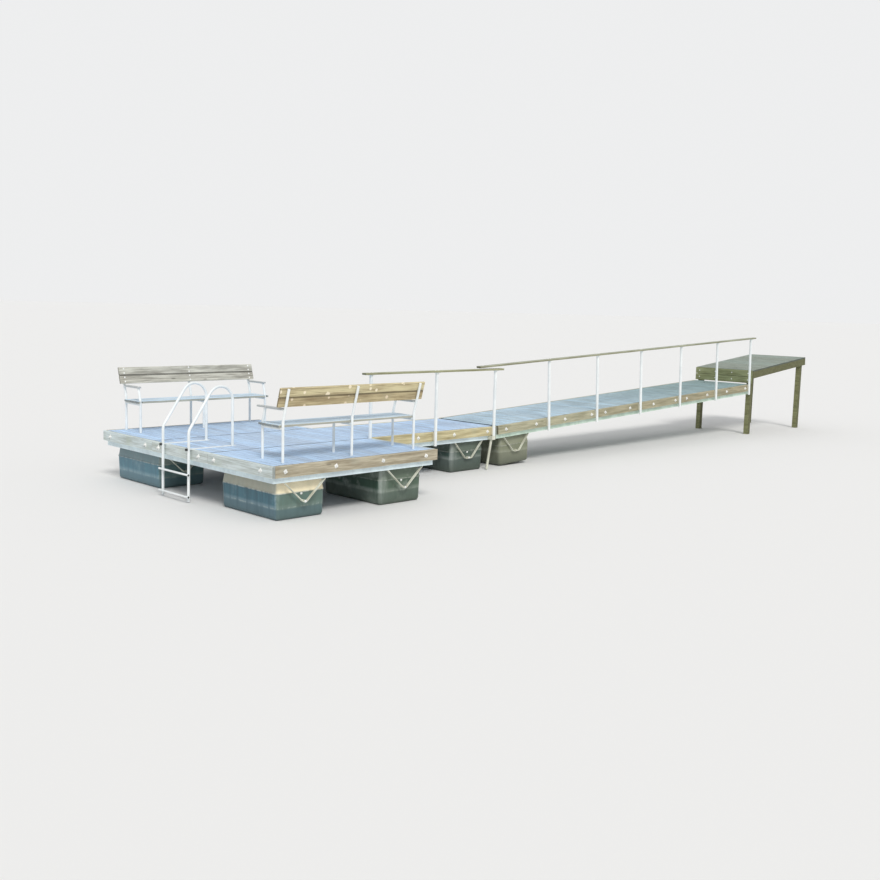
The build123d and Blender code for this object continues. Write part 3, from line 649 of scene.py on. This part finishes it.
def join_pieces(name, meshes, body, replaced=()):
    """One object at the origin from several meshes, riding on a body."""
    work = bmesh.new()
    wanted = list(dict.fromkeys(material for mesh in meshes for material in mesh.materials))
    for mesh in meshes:
        before = len(work.faces)
        work.from_mesh(mesh)
        work.faces.ensure_lookup_table()
        order = [wanted.index(material) for material in mesh.materials]
        for face in work.faces[before:]:
            face.material_index = order[face.material_index]
    whole = bpy.data.meshes.new(name)
    work.to_mesh(whole)
    work.free()
    for material in wanted:
        whole.materials.append(material)
    piece = new_object(name, whole)
    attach(piece, body)
    if replaced:
        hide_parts(*replaced)
    print(name, "has", len(whole.polygons), "faces")


def plank_panel(place, x, y, wood, seed):
    """A module's planks, between two distances along the deck and two across it."""
    values = {
        "Panel length": x[1] - x[0], "Panel width": y[1] - y[0], "Board depth": plank_depth,
        "Board width": 0.095, "Gap": 0.004, "Screw radius": 0.0045, "Cup": 0.004,
        "Seed": seed, "Wood": finishes[wood], "Steel": finishes["bolt_steel"],
    }
    return grow(plank_tree, values, place @ Matrix.Translation((x[0], (y[0] + y[1]) / 2, 0)))


edge_gap, module_gap, hinge_trim = 0.004, 0.009, 0.015
module_sides = {
    "platform_deck_front": (0, 1),
    "platform_deck_middle": (1, 1),
    "platform_deck_back": (1, 0),
    "walkway_deck": (0, 0),
}
float_panels = []
for seed, (name, (south_side, north_side)) in enumerate(module_sides.items()):
    low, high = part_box(name)
    trimmed = hinge_trim if name == "walkway_deck" else 0
    along = (low[0] - deck_left, high[0] - deck_left - trimmed)
    over = (low[1] + edge_gap + south_side * module_gap, high[1] - edge_gap - north_side * module_gap)
    float_panels.append(plank_panel(level_deck, along, over, "deck_plank_wood", seed + 3))
join_pieces("platform_planks", float_panels, "float", tuple(module_sides))

module_run, seam, half_hinge_gap, walk_inside, walk_outside = 2.63, 0.008, 0.0225, 0.63, 0.675
gangway_starts = [half_hinge_gap + n * module_run for n in range(3)]
walk_y, landing_x, landing_y = (-walk_inside, walk_inside), (0.0452, 2.38), (-walk_outside, walk_outside)
gangway_panels = []
for n, start in enumerate(gangway_starts):
    x = (start + (seam if n else hinge_trim), start + module_run)
    gangway_panels.append(plank_panel(gangway_deck, x, walk_y, "gangway_plank_wood", 20 + n))
join_pieces("gangway_planks", gangway_panels, "gangway", ("gangway_deck",))
landing_panel = plank_panel(landing_deck, landing_x, landing_y, "landing_plank_wood", 31)
join_pieces("landing_planks", [landing_panel], "landing", ("landing_deck",))

# %% [markdown]
# Sawn boards edge the decks, rail the gangway and make the benches.
# A sawn board has softened arrises and is never quite straight. One helper sweeps a rounded outline
# along the board and nudges each station a fraction of a millimetre, which catches the light as timber does.

# %% Write the board helpers
station_pitch, least_offset, tip_share = 0.22, 1e-6, 0.7


def side_of(value, middle):
    """-1, 0 or 1 for a value below, at or above a middle."""
    return (value > middle + least_offset) - (value < middle - least_offset)


def timber_mesh(work, place, wood):
    """The mesh of a finished bmesh, put in its place and given its wood."""
    mesh = bpy.data.meshes.new("board")
    work.to_mesh(mesh)
    work.free()
    mesh.transform(place)
    mesh.materials.append(finishes[wood])
    return mesh


def corner_arcs(left, front, right, back, radius, pitch):
    """The quarter circles of a rounded rectangle, from its left front corner round by its right."""
    arcs = []
    for x, y, turn in (
        (left + radius, front + radius, 180),
        (right - radius, front + radius, 270),
        (right - radius, back - radius, 0),
        (left + radius, back - radius, 90),
    ):
        angles = [math.radians(degrees) for degrees in range(turn, turn + 91, pitch)]
        arcs.append([(x + radius * math.cos(angle), y + radius * math.sin(angle)) for angle in angles])
    return arcs


def sawn_board(low, high, place, axis, seed, wood, edge=0.004, wander=0.0008, gap_shade_edge=None):
    """A board between two corners of its own plane, long way along the given axis."""
    chance = random.Random(seed)
    a, b = [i for i in range(3) if i != axis]
    length = high[axis] - low[axis]
    stations = max(3, int(length / station_pitch))
    middle = ((low[a] + high[a]) / 2, (low[b] + high[b]) / 2)
    sides = ((middle[0], low[b]), (high[a], middle[1]), (middle[0], high[b]), (low[a], middle[1]))
    ring = []
    for arc, side, u in zip(corner_arcs(low[a], low[b], high[a], high[b], edge, 45), sides, (0, 1, 1, 0)):
        # Arcs on the edge that faces a bench back's gap get -1, which the timber finish paints dark as shade.
        ring += [(*spot, -1.0 if u == gap_shade_edge else 1.0) for spot in arc]
        ring.append((*side, 0.0))
    work = bmesh.new()
    tone_mark = work.verts.layers.float.new("board")
    arris_mark = work.verts.layers.float.new("arris")
    tone = chance.random()
    tip = edge * tip_share
    path = [(0, tip), (tip, 0)]
    path += [(length * n / stations, 0) for n in range(1, stations)]
    path += [(length - tip, 0), (length, tip)]
    rings = []
    for distance, pull in path:
        sway = (chance.uniform(-wander, 0), chance.uniform(-wander, 0))
        row = []
        for p, q, sharp in ring:
            spot = [0, 0, 0]
            spot[axis] = low[axis] + distance
            spot[a] = p - side_of(p, middle[0]) * (pull - sway[0])
            spot[b] = q - side_of(q, middle[1]) * (pull - sway[1])
            vertex = work.verts.new(spot)
            vertex[tone_mark] = tone
            vertex[arris_mark] = sharp
            row.append(vertex)
        rings.append(row)
    for first_row, next_row in zip(rings, rings[1:]):
        for i in range(len(ring)):
            j = (i + 1) % len(ring)
            work.faces.new((first_row[i], first_row[j], next_row[j], next_row[i]))
    work.faces.new(rings[0][::-1])
    work.faces.new(rings[-1])
    bmesh.ops.recalc_face_normals(work, faces=work.faces[:])
    return timber_mesh(work, place, wood)


def cut_board(outline, bottom, top, place, edge, seed, wood):
    """A board of any plan: its outline raised from bottom to top, with the arrises taken off."""
    work = bmesh.new()
    tone_mark = work.verts.layers.float.new("board")
    tone = random.Random(seed).random()
    lower = work.faces.new([work.verts.new((x, y, bottom)) for x, y in outline])
    raised = bmesh.ops.extrude_face_region(work, geom=[lower])
    upper = [v for v in raised["geom"] if isinstance(v, bmesh.types.BMVert)]
    bmesh.ops.translate(work, verts=upper, vec=(0, 0, top - bottom))
    bmesh.ops.recalc_face_normals(work, faces=work.faces[:])
    bmesh.ops.bevel(work, geom=work.edges[:], offset=edge, segments=2, profile=0.5, affect="EDGES")
    for vertex in work.verts:
        vertex[tone_mark] = tone
    return timber_mesh(work, place, wood)


# %% [markdown]
# The edging boards hide the ends of the planks and take the knocks.
# Those on the left side are greyer, those on the front are warmer: partly the boards' own tone, partly
# painted sky light on the left and painted sunlight on the front.

# %% Edge the decks
row_length, edge_depth, edge_height, joint_gap = 1.35, 0.045, 0.14, 0.003
platform_front, platform_back = -2.025, 2.025


def edging(title, node, axis, wood, seed, spans, body="float", place=level_deck):
    """The edging boards of one side, from their spans in x and y."""
    boards = []
    for n, (x, y) in enumerate(spans):
        boards.append(sawn_board((x[0], y[0], -edge_height), (x[1], y[1], 0), place, axis, seed + n, wood))
    join_pieces(title, boards, body, (node,))


rows = [platform_front + n * row_length for n in range(3)]
left_spans = [((0, edge_depth), (start + joint_gap, start + row_length - joint_gap)) for start in rows]
edging("left_edge_boards", "fascia_left", 1, "left_edge_wood", 40, left_spans)
front_span = ((edge_depth, module_run), (platform_front, platform_front + edge_depth))
edging("front_edge_board", "fascia_front", 0, "front_edge_wood", 51, [front_span])
back_span = ((edge_depth, module_run), (platform_back - edge_depth, platform_back))
edging("back_edge_board", "fascia_back", 0, "front_edge_wood", 52, [back_span])
right_x = (module_run - edge_depth, module_run)
right_spans = [
    (right_x, (platform_front + edge_depth, -walk_outside)),
    (right_x, (walk_outside, platform_back - edge_depth)),
]
edging("right_edge_boards", "fascia_right", 1, "left_edge_wood", 54, right_spans)
sides = {"near": (-walk_outside, -walk_inside), "far": (walk_inside, walk_outside)}
for n, (side, y) in enumerate(sides.items()):
    walk_span = ((module_run + joint_gap, 2 * module_run - joint_gap), y)
    title, node = f"walkway_edge_{side}", f"walkway_fascia_{side}"
    edging(title, node, 0, "walkway_edge_wood", 60 + n, [walk_span])
    slope_spans = [((start + joint_gap, start + module_run - joint_gap), y) for start in gangway_starts]
    title, node = f"gangway_edge_{side}", f"gangway_fascia_{side}"
    edging(title, node, 0, "gangway_edge_wood", 70 + 3 * n, slope_spans, "gangway", gangway_deck)

# %% [markdown]
# Each bench has a seat of three boards on the frames' bars and a back of two boards that lean with the tubes.
# The outer seat board is cut round the front tubes. That cut makes its plan a polygon,
# so it is raised from an outline, while the plain boards come from the helper above.

# %% Build the benches
seat_gap, back_gap, back_start = 0.008, 0.01, 0.174
bench_lean, bench_knee = math.radians(16), 0.48
tube_radius, tube_fit = 0.017, 0.0003
notch_half, notch_start = 0.018, 0.387
frame_inset, frame_span = 0.282, 2.08
back_width, back_thickness, back_closing = 0.113, 0.028, 0.0035
arm_radius = 0.026
seat_edge, back_edge, arm_edge = 0.003, 0.004, 0.0035
frame_at = [frame_inset + n * frame_span / 2 for n in range(3)]


def bench_place(rear, facing):
    """Matrix of a bench: x along it, y from its back to its front, z up from the deck."""
    turned = facing < 0
    corner = (deck_left + 2 * frame_at[1] * turned, rear, deck_top)
    return Matrix.Translation(corner) @ Matrix.Rotation(math.pi * turned, 4, "Z")


def back_place(rear, facing):
    """Matrix of a bench's back: x along it, y up the leaning tubes."""
    tilt = Matrix.Rotation(math.pi / 2 + bench_lean, 4, "X")
    return bench_place(rear, facing) @ Matrix.Translation((0, 0, bench_knee)) @ tilt


def seat_pieces(seat_node, rear, facing, seed):
    """The three boards of a seat, measured from its node."""
    low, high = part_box(seat_node)
    place = bench_place(rear, facing)
    ends = (low[0] - deck_left, high[0] - deck_left)
    depths = sorted(((low[1] - rear) * facing, (high[1] - rear) * facing))
    levels = (low[2] - deck_top, high[2] - deck_top)
    width = (depths[1] - depths[0] - 2 * seat_gap) / 3
    boards = []
    for n in range(2):
        start = depths[0] + n * (width + seat_gap)
        corner = (ends[0], start, levels[0])
        far_corner = (ends[1], start + width, levels[1])
        boards.append(sawn_board(corner, far_corner, place, 0, seed + n, "seat_wood", seat_edge))
    inner, outer = depths[1] - width, depths[1]
    outline = [(ends[0], inner), (ends[1], inner), (ends[1], outer)]
    for x in (frame_at[2], frame_at[0]):
        right, left = x + notch_half, x - notch_half
        outline += [(right, outer), (right, notch_start), (left, notch_start), (left, outer)]
    outline.append((ends[0], outer))
    boards.append(cut_board(outline, *levels, place, seat_edge, seed + 2, "seat_wood"))
    return boards


def back_pieces(rear, facing, seed, wood, overhang):
    """The two boards of a back, laid along the leaning tubes."""
    place = back_place(rear, facing)
    near_face = -(tube_radius + tube_fit)
    boards = []
    for n in range(2):
        foot = back_start + n * (back_width + back_gap)
        low = (frame_at[0] - overhang, foot - (back_closing if n else 0), near_face - back_thickness)
        high = (frame_at[2] + overhang, foot + back_width + (0 if n else back_closing), near_face)
        # The edges facing the gap between the two boards get painted shade.
        boards.append(sawn_board(low, high, place, 0, seed + n, wood, back_edge, gap_shade_edge=1 - n))
    return boards


def arm_pieces(arm_node, seed):
    """Two flat armrests with rounded ends, measured from their node."""
    low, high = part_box(arm_node)
    width = high[0] - low[0] - frame_span
    boards = []
    for n, x in enumerate((low[0], high[0] - width)):
        first, *others = corner_arcs(x, low[1], x + width, high[1], arm_radius, 15)
        outline = sum(others, []) + first
        boards.append(cut_board(outline, low[2], high[2], as_modelled, arm_edge, seed + n, "arm_plastic"))
    return boards


benches = {
    "front": (-1.837, 1, "near_bench_wood", 100, 0.1),
    "back": (1.885, -1, "far_bench_wood", 120, 0.075),
}
for side, (rear, facing, wood, seed, overhang) in benches.items():
    bench = f"{side}_bench"
    for part, node, boards, slot in (
        ("seat", f"{bench}_seat", seat_pieces(f"{bench}_seat", rear, facing, seed), "bench_wood"),
        ("back", f"{bench}_backrest", back_pieces(rear, facing, seed + 14, wood, overhang), "bench_wood"),
        ("arm", f"{bench}_armrests", arm_pieces(f"{bench}_armrests", seed + 16), "arm_plastic"),
    ):
        join_pieces(f"{bench}_{part}_boards", boards, "float", (node,))

# %% [markdown]
# The handrail is a flat board on the posts' plates. The level part has a board of its own,
# and the gangway's board reaches over it, so that the rail has no gap when the hinge bends.
# The gangway's rail is longer than any sawn board, so it is made of lengths that meet over a post.

# %% Build the handrails and the risers
rail_finish = {"edge": 0.005, "wander": 0.0015}
walk_rail = sawn_board(walk_low, walk_high, as_modelled, 0, 140, "rail_wood", **rail_finish)
join_pieces("walkway_rail_board", [walk_rail], "float", ("walkway_handrail",))
post_bay, first_gangway_post, post_count = 1.315, 1.2375, 6
rail_start, rail_end, rail_heights, rail_joint = -0.46, 7.9525, (0.954, 0.984), 0.001
rail_breaks = [rail_start, first_gangway_post + 2 * post_bay, rail_end]
lengths = []
for n, (start, stop) in enumerate(zip(rail_breaks, rail_breaks[1:])):
    low = (start + (rail_joint if n else 0), walk_low[1], rail_heights[0])
    high = (stop, walk_high[1], rail_heights[1])
    lengths.append(sawn_board(low, high, gangway_deck, 0, 144 + n, "gangway_rail_wood", **rail_finish))
join_pieces("gangway_rail_boards", lengths, "gangway", ("gangway_handrail",))

riser_gap = 0.008
riser_height = (riser_high[2] - riser_low[2] - riser_gap) / 2
riser_bottoms = [riser_low[2] + n * (riser_height + riser_gap) for n in range(2)]
risers = []
for n, bottom in enumerate(riser_bottoms):
    low = (riser_low[0], riser_low[1], bottom)
    high = (riser_high[0], riser_high[1], bottom + riser_height)
    risers.append(sawn_board(low, high, as_modelled, 1, 150 + n, "landing_wood", **rail_finish))
join_pieces("landing_riser_boards", risers, "landing", ("riser_boards",))

# %% [markdown]
# Every edging board is bolted to the steel with big bolts on square washers, bright spots along the jetty.
# They are the same thing dozens of times, so a tree places them: it takes single points on a flat face,
# sets a washer and a six-sided head on each and gives each a small turn of its own.
# Flat work is then turned to its board by a matrix, as the decks were.

# %% Build the bolt trees
washer_taper, head_taper = 0.93, 0.86


def turned_copies(shape, points, turn, seed):
    """Copies of a shape on points, each turned about the face's normal by its own angle."""
    limits = {0: vector(z=product(turn, -1.0)), 1: vector(z=turn), "Seed": seed}
    angle = follow("FunctionNodeRandomValue", limits, data_type="FLOAT_VECTOR").outputs[0]
    return copies(shape, points, Rotation=angle)


def cone(sides, radius, taper, depth):
    """A flat cone on the face, as washers and bolt heads are."""
    narrow = product(radius, taper)
    inputs = {"Vertices": sides, "Radius Top": narrow, "Radius Bottom": radius, "Depth": depth}
    return step("MeshCone", inputs)


bolt_tree, given = start_tree(
    "bolts_on_a_face",
    ("Washer radius", "Washer depth", "Washer turn", "Head radius", "Head depth", "Head turn"),
    {"Washer sides": "Int", "Seed": "Int", "Steel": "Material"},
)
washer = cone(given["Washer sides"], given["Washer radius"], washer_taper, given["Washer depth"])
head = cone(6, given["Head radius"], head_taper, given["Head depth"])
washers = turned_copies(washer, given["Geometry"], given["Washer turn"], given["Seed"])
heads = turned_copies(head, given["Geometry"], given["Head turn"], maths("ADD", given["Seed"], 5.0))
add_node(bolt_tree, "NodeGroupOutput", {0: painted(joined(washers, heads), given["Steel"])})

dome_tree, given = start_tree("domed_heads_on_a_face", ("Radius", "Height"), {"Steel": "Material"})
ball = step("MeshUVSphere", {"Segments": 12, "Rings": 8, "Radius": given["Radius"]})
flatness = vector(1.0, 1.0, maths("DIVIDE", given["Height"], given["Radius"]))
domes = copies(step("Transform", {"Geometry": ball, "Scale": flatness}), given["Geometry"])
add_node(dome_tree, "NodeGroupOutput", {0: painted(domes, given["Steel"])})
print("bolt tree has", len(bolt_tree.nodes), "nodes, dome tree", len(dome_tree.nodes))

bolt_sizes = {
    "square": {
        "Washer sides": 4, "Washer radius": 0.033, "Washer depth": 0.004, "Washer turn": 0.45,
        "Head radius": 0.0145, "Head depth": 0.024, "Head turn": 0.5,
    },
    "round": {
        "Washer sides": 16, "Washer radius": 0.017, "Washer depth": 0.003, "Washer turn": 0.4,
        "Head radius": 0.0115, "Head depth": 0.008, "Head turn": 0.5,
    },
}


def on_face(origin, along, up=(0, 0, 1)):
    """Matrix that lays flat work on a face: x runs along it, y up it and z points out of it."""
    along, up = Vector(along), Vector(up)
    turn = Matrix((along, up, along.cross(up))).transposed().to_4x4()
    return Matrix.Translation(origin) @ turn


fasteners = {"float_bolts": [], "gangway_bolts": [], "riser_bolts": [], "rung_caps": []}


def bolts(washer_kind, points, place, seed, piece="float_bolts"):
    """Adds bolts at points of a face to a piece, on square or round washers."""
    values = {**bolt_sizes[washer_kind], "Seed": seed, "Steel": finishes["bolt_steel"]}
    fasteners[piece].append(grow(bolt_tree, values, place, points))


def domed_heads(points, place, radius, height, piece="float_bolts", finish="bolt_steel"):
    """Adds round heads of coach bolts, or caps, at points of a face to a piece."""
    values = {"Radius": radius, "Height": height, "Steel": finishes[finish]}
    fasteners[piece].append(grow(dome_tree, values, place, points))


# %% [markdown]
# Each side of a long module has four bolts, and each end board has two, about 70 mm below the deck.
# The pontoons are held by a bolt through each stay's foot and another in the moulding above it.
# Benches, rails and risers have the round heads of coach bolts.

# %% Fit the bolts
module_bolts = (0.185, 0.93, 1.68, 2.42)
left_bolts = (1.81, 0.837, 0.499, -0.471, -0.821, -1.796)
right_bolts = (-1.8, -0.85, 0.85, 1.8)
bolt_line = -0.07
east, north, west, south = (1, 0, 0), (0, 1, 0), (-1, 0, 0), (0, -1, 0)
for n, (reach, origin, along) in enumerate((
    ([-y for y in left_bolts], (0, 0, 0), south),
    (module_bolts, (0, platform_front, 0), east),
    ([-x for x in module_bolts], (0, platform_back, 0), west),
    (right_bolts, (module_run, 0, 0), north),
)):
    points = [(distance, bolt_line) for distance in reach]
    bolts("square", points, level_deck @ on_face(origin, along), 1 + n)
for n, (y, along, sign) in enumerate(((sides["near"][0], east, 1), (sides["far"][1], west, -1))):
    face = on_face((0, y, 0), along)
    points = [(sign * (module_run + x), bolt_line) for x in module_bolts]
    bolts("square", points, level_deck @ face, 6 + n)
    points = [(sign * (start + x), bolt_line) for start in gangway_starts for x in module_bolts]
    bolts("square", points, gangway_deck @ face, 8 + n, "gangway_bolts")

stay_foot, moulding_bolt, ridge_lip = 0.219, 0.303, 0.006
for n, name in enumerate(("front_left", "front_right", "back_left", "back_right", "walkway")):
    low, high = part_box(f"pontoon_{name}")
    middle = (low[0] + high[0]) / 2
    stay_low, stay_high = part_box("walkway_stays" if name == "walkway" else "platform_stays")
    near_end = (20 + n, 1, east, stay_low[1], low[1] + ridge_lip)
    far_end = (40 + n, -1, west, stay_high[1], high[1] - ridge_lip)
    ends = {"front": (near_end,), "back": (far_end,)}.get(name.split("_")[0], (near_end, far_end))
    for seed, sign, along, stay_face, moulding_face in ends:
        stay = on_face((0, stay_face, 0), along)
        moulding = on_face((0, moulding_face, 0), along)
        bolts("round", [(sign * middle, stay_foot)], stay, seed)
        bolts("round", [(sign * middle, moulding_bolt)], moulding, seed + 10)

back_bolt_inset, arm_bolt_inset = 0.026, 0.05
seat_board_pitch, seat_bolt_rows, notched_from = 0.14, (0.03, 0.102), 0.37
small_dome, back_dome, rail_dome, riser_dome = (0.008, 0.003), (0.0125, 0.006), (0.009, 0.004), (0.012, 0.006)
for side, (rear, facing, *_) in benches.items():
    front_face = Matrix.Translation((0, 0, -(tube_radius + tube_fit + back_thickness)))
    feet = [back_start + k * (back_width + back_gap) for k in range(2)]
    rows = [foot + inset for foot in feet for inset in (back_bolt_inset, back_width - back_bolt_inset)]
    spots = [(x, row) for x in frame_at for row in rows]
    domed_heads(spots, back_place(rear, facing) @ front_face, *back_dome)
    seat_low, seat_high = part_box(f"{side}_bench_seat")
    depth_low = min((seat_low[1] - rear) * facing, (seat_high[1] - rear) * facing)
    rows = [depth_low + k * seat_board_pitch + inset for k in range(3) for inset in seat_bolt_rows]
    spots = [(x, row) for x in frame_at for row in rows if row <= notched_from or x == frame_at[1]]
    on_seat = bench_place(rear, facing) @ Matrix.Translation((0, 0, seat_high[2] - deck_top))
    domed_heads(spots, on_seat, *small_dome)
    arm_low, arm_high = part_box(f"{side}_bench_armrests")
    arm_rows = (arm_low[1] + arm_bolt_inset, arm_high[1] - arm_bolt_inset)
    spots = [(frame_at[k] + deck_left, y) for k in (0, 2) for y in arm_rows]
    domed_heads(spots, Matrix.Translation((0, 0, arm_high[2])), *small_dome)

walk_posts = (2.6, 3.88, 5.16)
rail_bolt_offsets, end_bolt_inset = (-0.03, 0.03), 0.1
on_walk_rail = level_deck @ Matrix.Translation((0, 0, walk_high[2] - deck_top))
on_gangway_rail = gangway_deck @ Matrix.Translation((0, 0, rail_heights[1]))
spots = [(x + offset, post_line) for x in walk_posts for offset in rail_bolt_offsets]
domed_heads(spots, on_walk_rail, *rail_dome)
gangway_posts = [first_gangway_post + n * post_bay for n in range(post_count)]
spots = [(x + offset, post_line) for x in gangway_posts for offset in rail_bolt_offsets]
spots.append((rail_start + end_bolt_inset, post_line))
domed_heads(spots, on_gangway_rail, *rail_dome, "gangway_bolts")

riser_bolt_rise, riser_bolt_sides = 0.065, (0.2, 0.58)
riser_face = on_face((riser_low[0], 0, 0), south)
spots = [(sign * y, z + riser_bolt_rise) for z in riser_bottoms for y in riser_bolt_sides for sign in (-1, 1)]
domed_heads(spots, riser_face, *riser_dome, "riser_bolts")

rung_low, rung_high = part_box("ladder_rungs")
rung_radius, cap_dome = 0.013, (0.0136, 0.004)
rung_x = (rung_low[0] + rung_high[0]) / 2
rung_heights = (rung_low[2] + rung_radius, rung_high[2] - rung_radius)
for y, along, sign in ((rung_low[1], east, 1), (rung_high[1], west, -1)):
    spots = [(sign * rung_x, z) for z in rung_heights]
    domed_heads(spots, on_face((0, y, 0), along), *cap_dome, "rung_caps", "black_rubber")
for piece, body, slot in (
    ("float_bolts", "float", "frame_metal"),
    ("gangway_bolts", "gangway", "frame_metal"),
    ("riser_bolts", "landing", "frame_metal"),
    ("rung_caps", "float", "black_rubber"),
):
    join_pieces(piece, fasteners[piece], body)

# %% [markdown]
# The floor and the light are a studio's: a pale floor, a pale sky and one soft sun from the camera's right.
# A sun lights the whole floor alike, where a lamp leaves a bright pool. Sky and sun together come to about 1
# on a level surface, so that a colour renders about as it is written.
# Camera rays see the sky at the floor's own brightness.

# %% Set the studio
sky_light, sky_seen_extra, floor_reach = 0.62, 0.25, 400
sun_light, sun_width, sun_direction = 1.75, math.radians(18), (0.32, 0.62, -0.72)
floor_mesh = bpy.data.meshes.new("studio_floor")
floor_work = bmesh.new()
bmesh.ops.create_grid(floor_work, x_segments=1, y_segments=1, size=floor_reach)
floor_work.to_mesh(floor_mesh)
floor_work.free()
floor = new_object("studio_floor", floor_mesh)
_, floor_shader, _ = new_material("studio_floor")
floor_shader.inputs["Base Color"].default_value = (0.84, 0.845, 0.85, 1)
floor_shader.inputs["Roughness"].default_value = 0.9
floor_mesh.materials.append(finishes["studio_floor"])

world = bpy.data.worlds.new("pale_sky")
bpy.context.scene.world = world
world.use_nodes = True
sky = world.node_tree
sky.nodes.clear()
path = add_node(sky, "ShaderNodeLightPath").outputs
seen_rays = maths("MAXIMUM", path["Is Camera Ray"], path["Is Glossy Ray"])
seen_rays = maths("MAXIMUM", seen_rays, path["Is Transmission Ray"])
strength = maths("ADD", sky_light, product(seen_rays, sky_seen_extra))
backdrop = follow("ShaderNodeBackground", {"Color": (0.98, 0.985, 0.99, 1), "Strength": strength})
add_node(sky, "ShaderNodeOutputWorld", {"Surface": backdrop.outputs[0]})

sun_data = bpy.data.lights.new("soft_sun", "SUN")
sun_data.energy = sun_light
sun_data.angle = sun_width
sun_data.color = (1.0, 0.97, 0.92)
sun = new_object("soft_sun", sun_data)
sun.rotation_euler = Vector(sun_direction).to_track_quat("-Z", "Y").to_euler()
bpy.context.scene.view_settings.view_transform = "Standard"
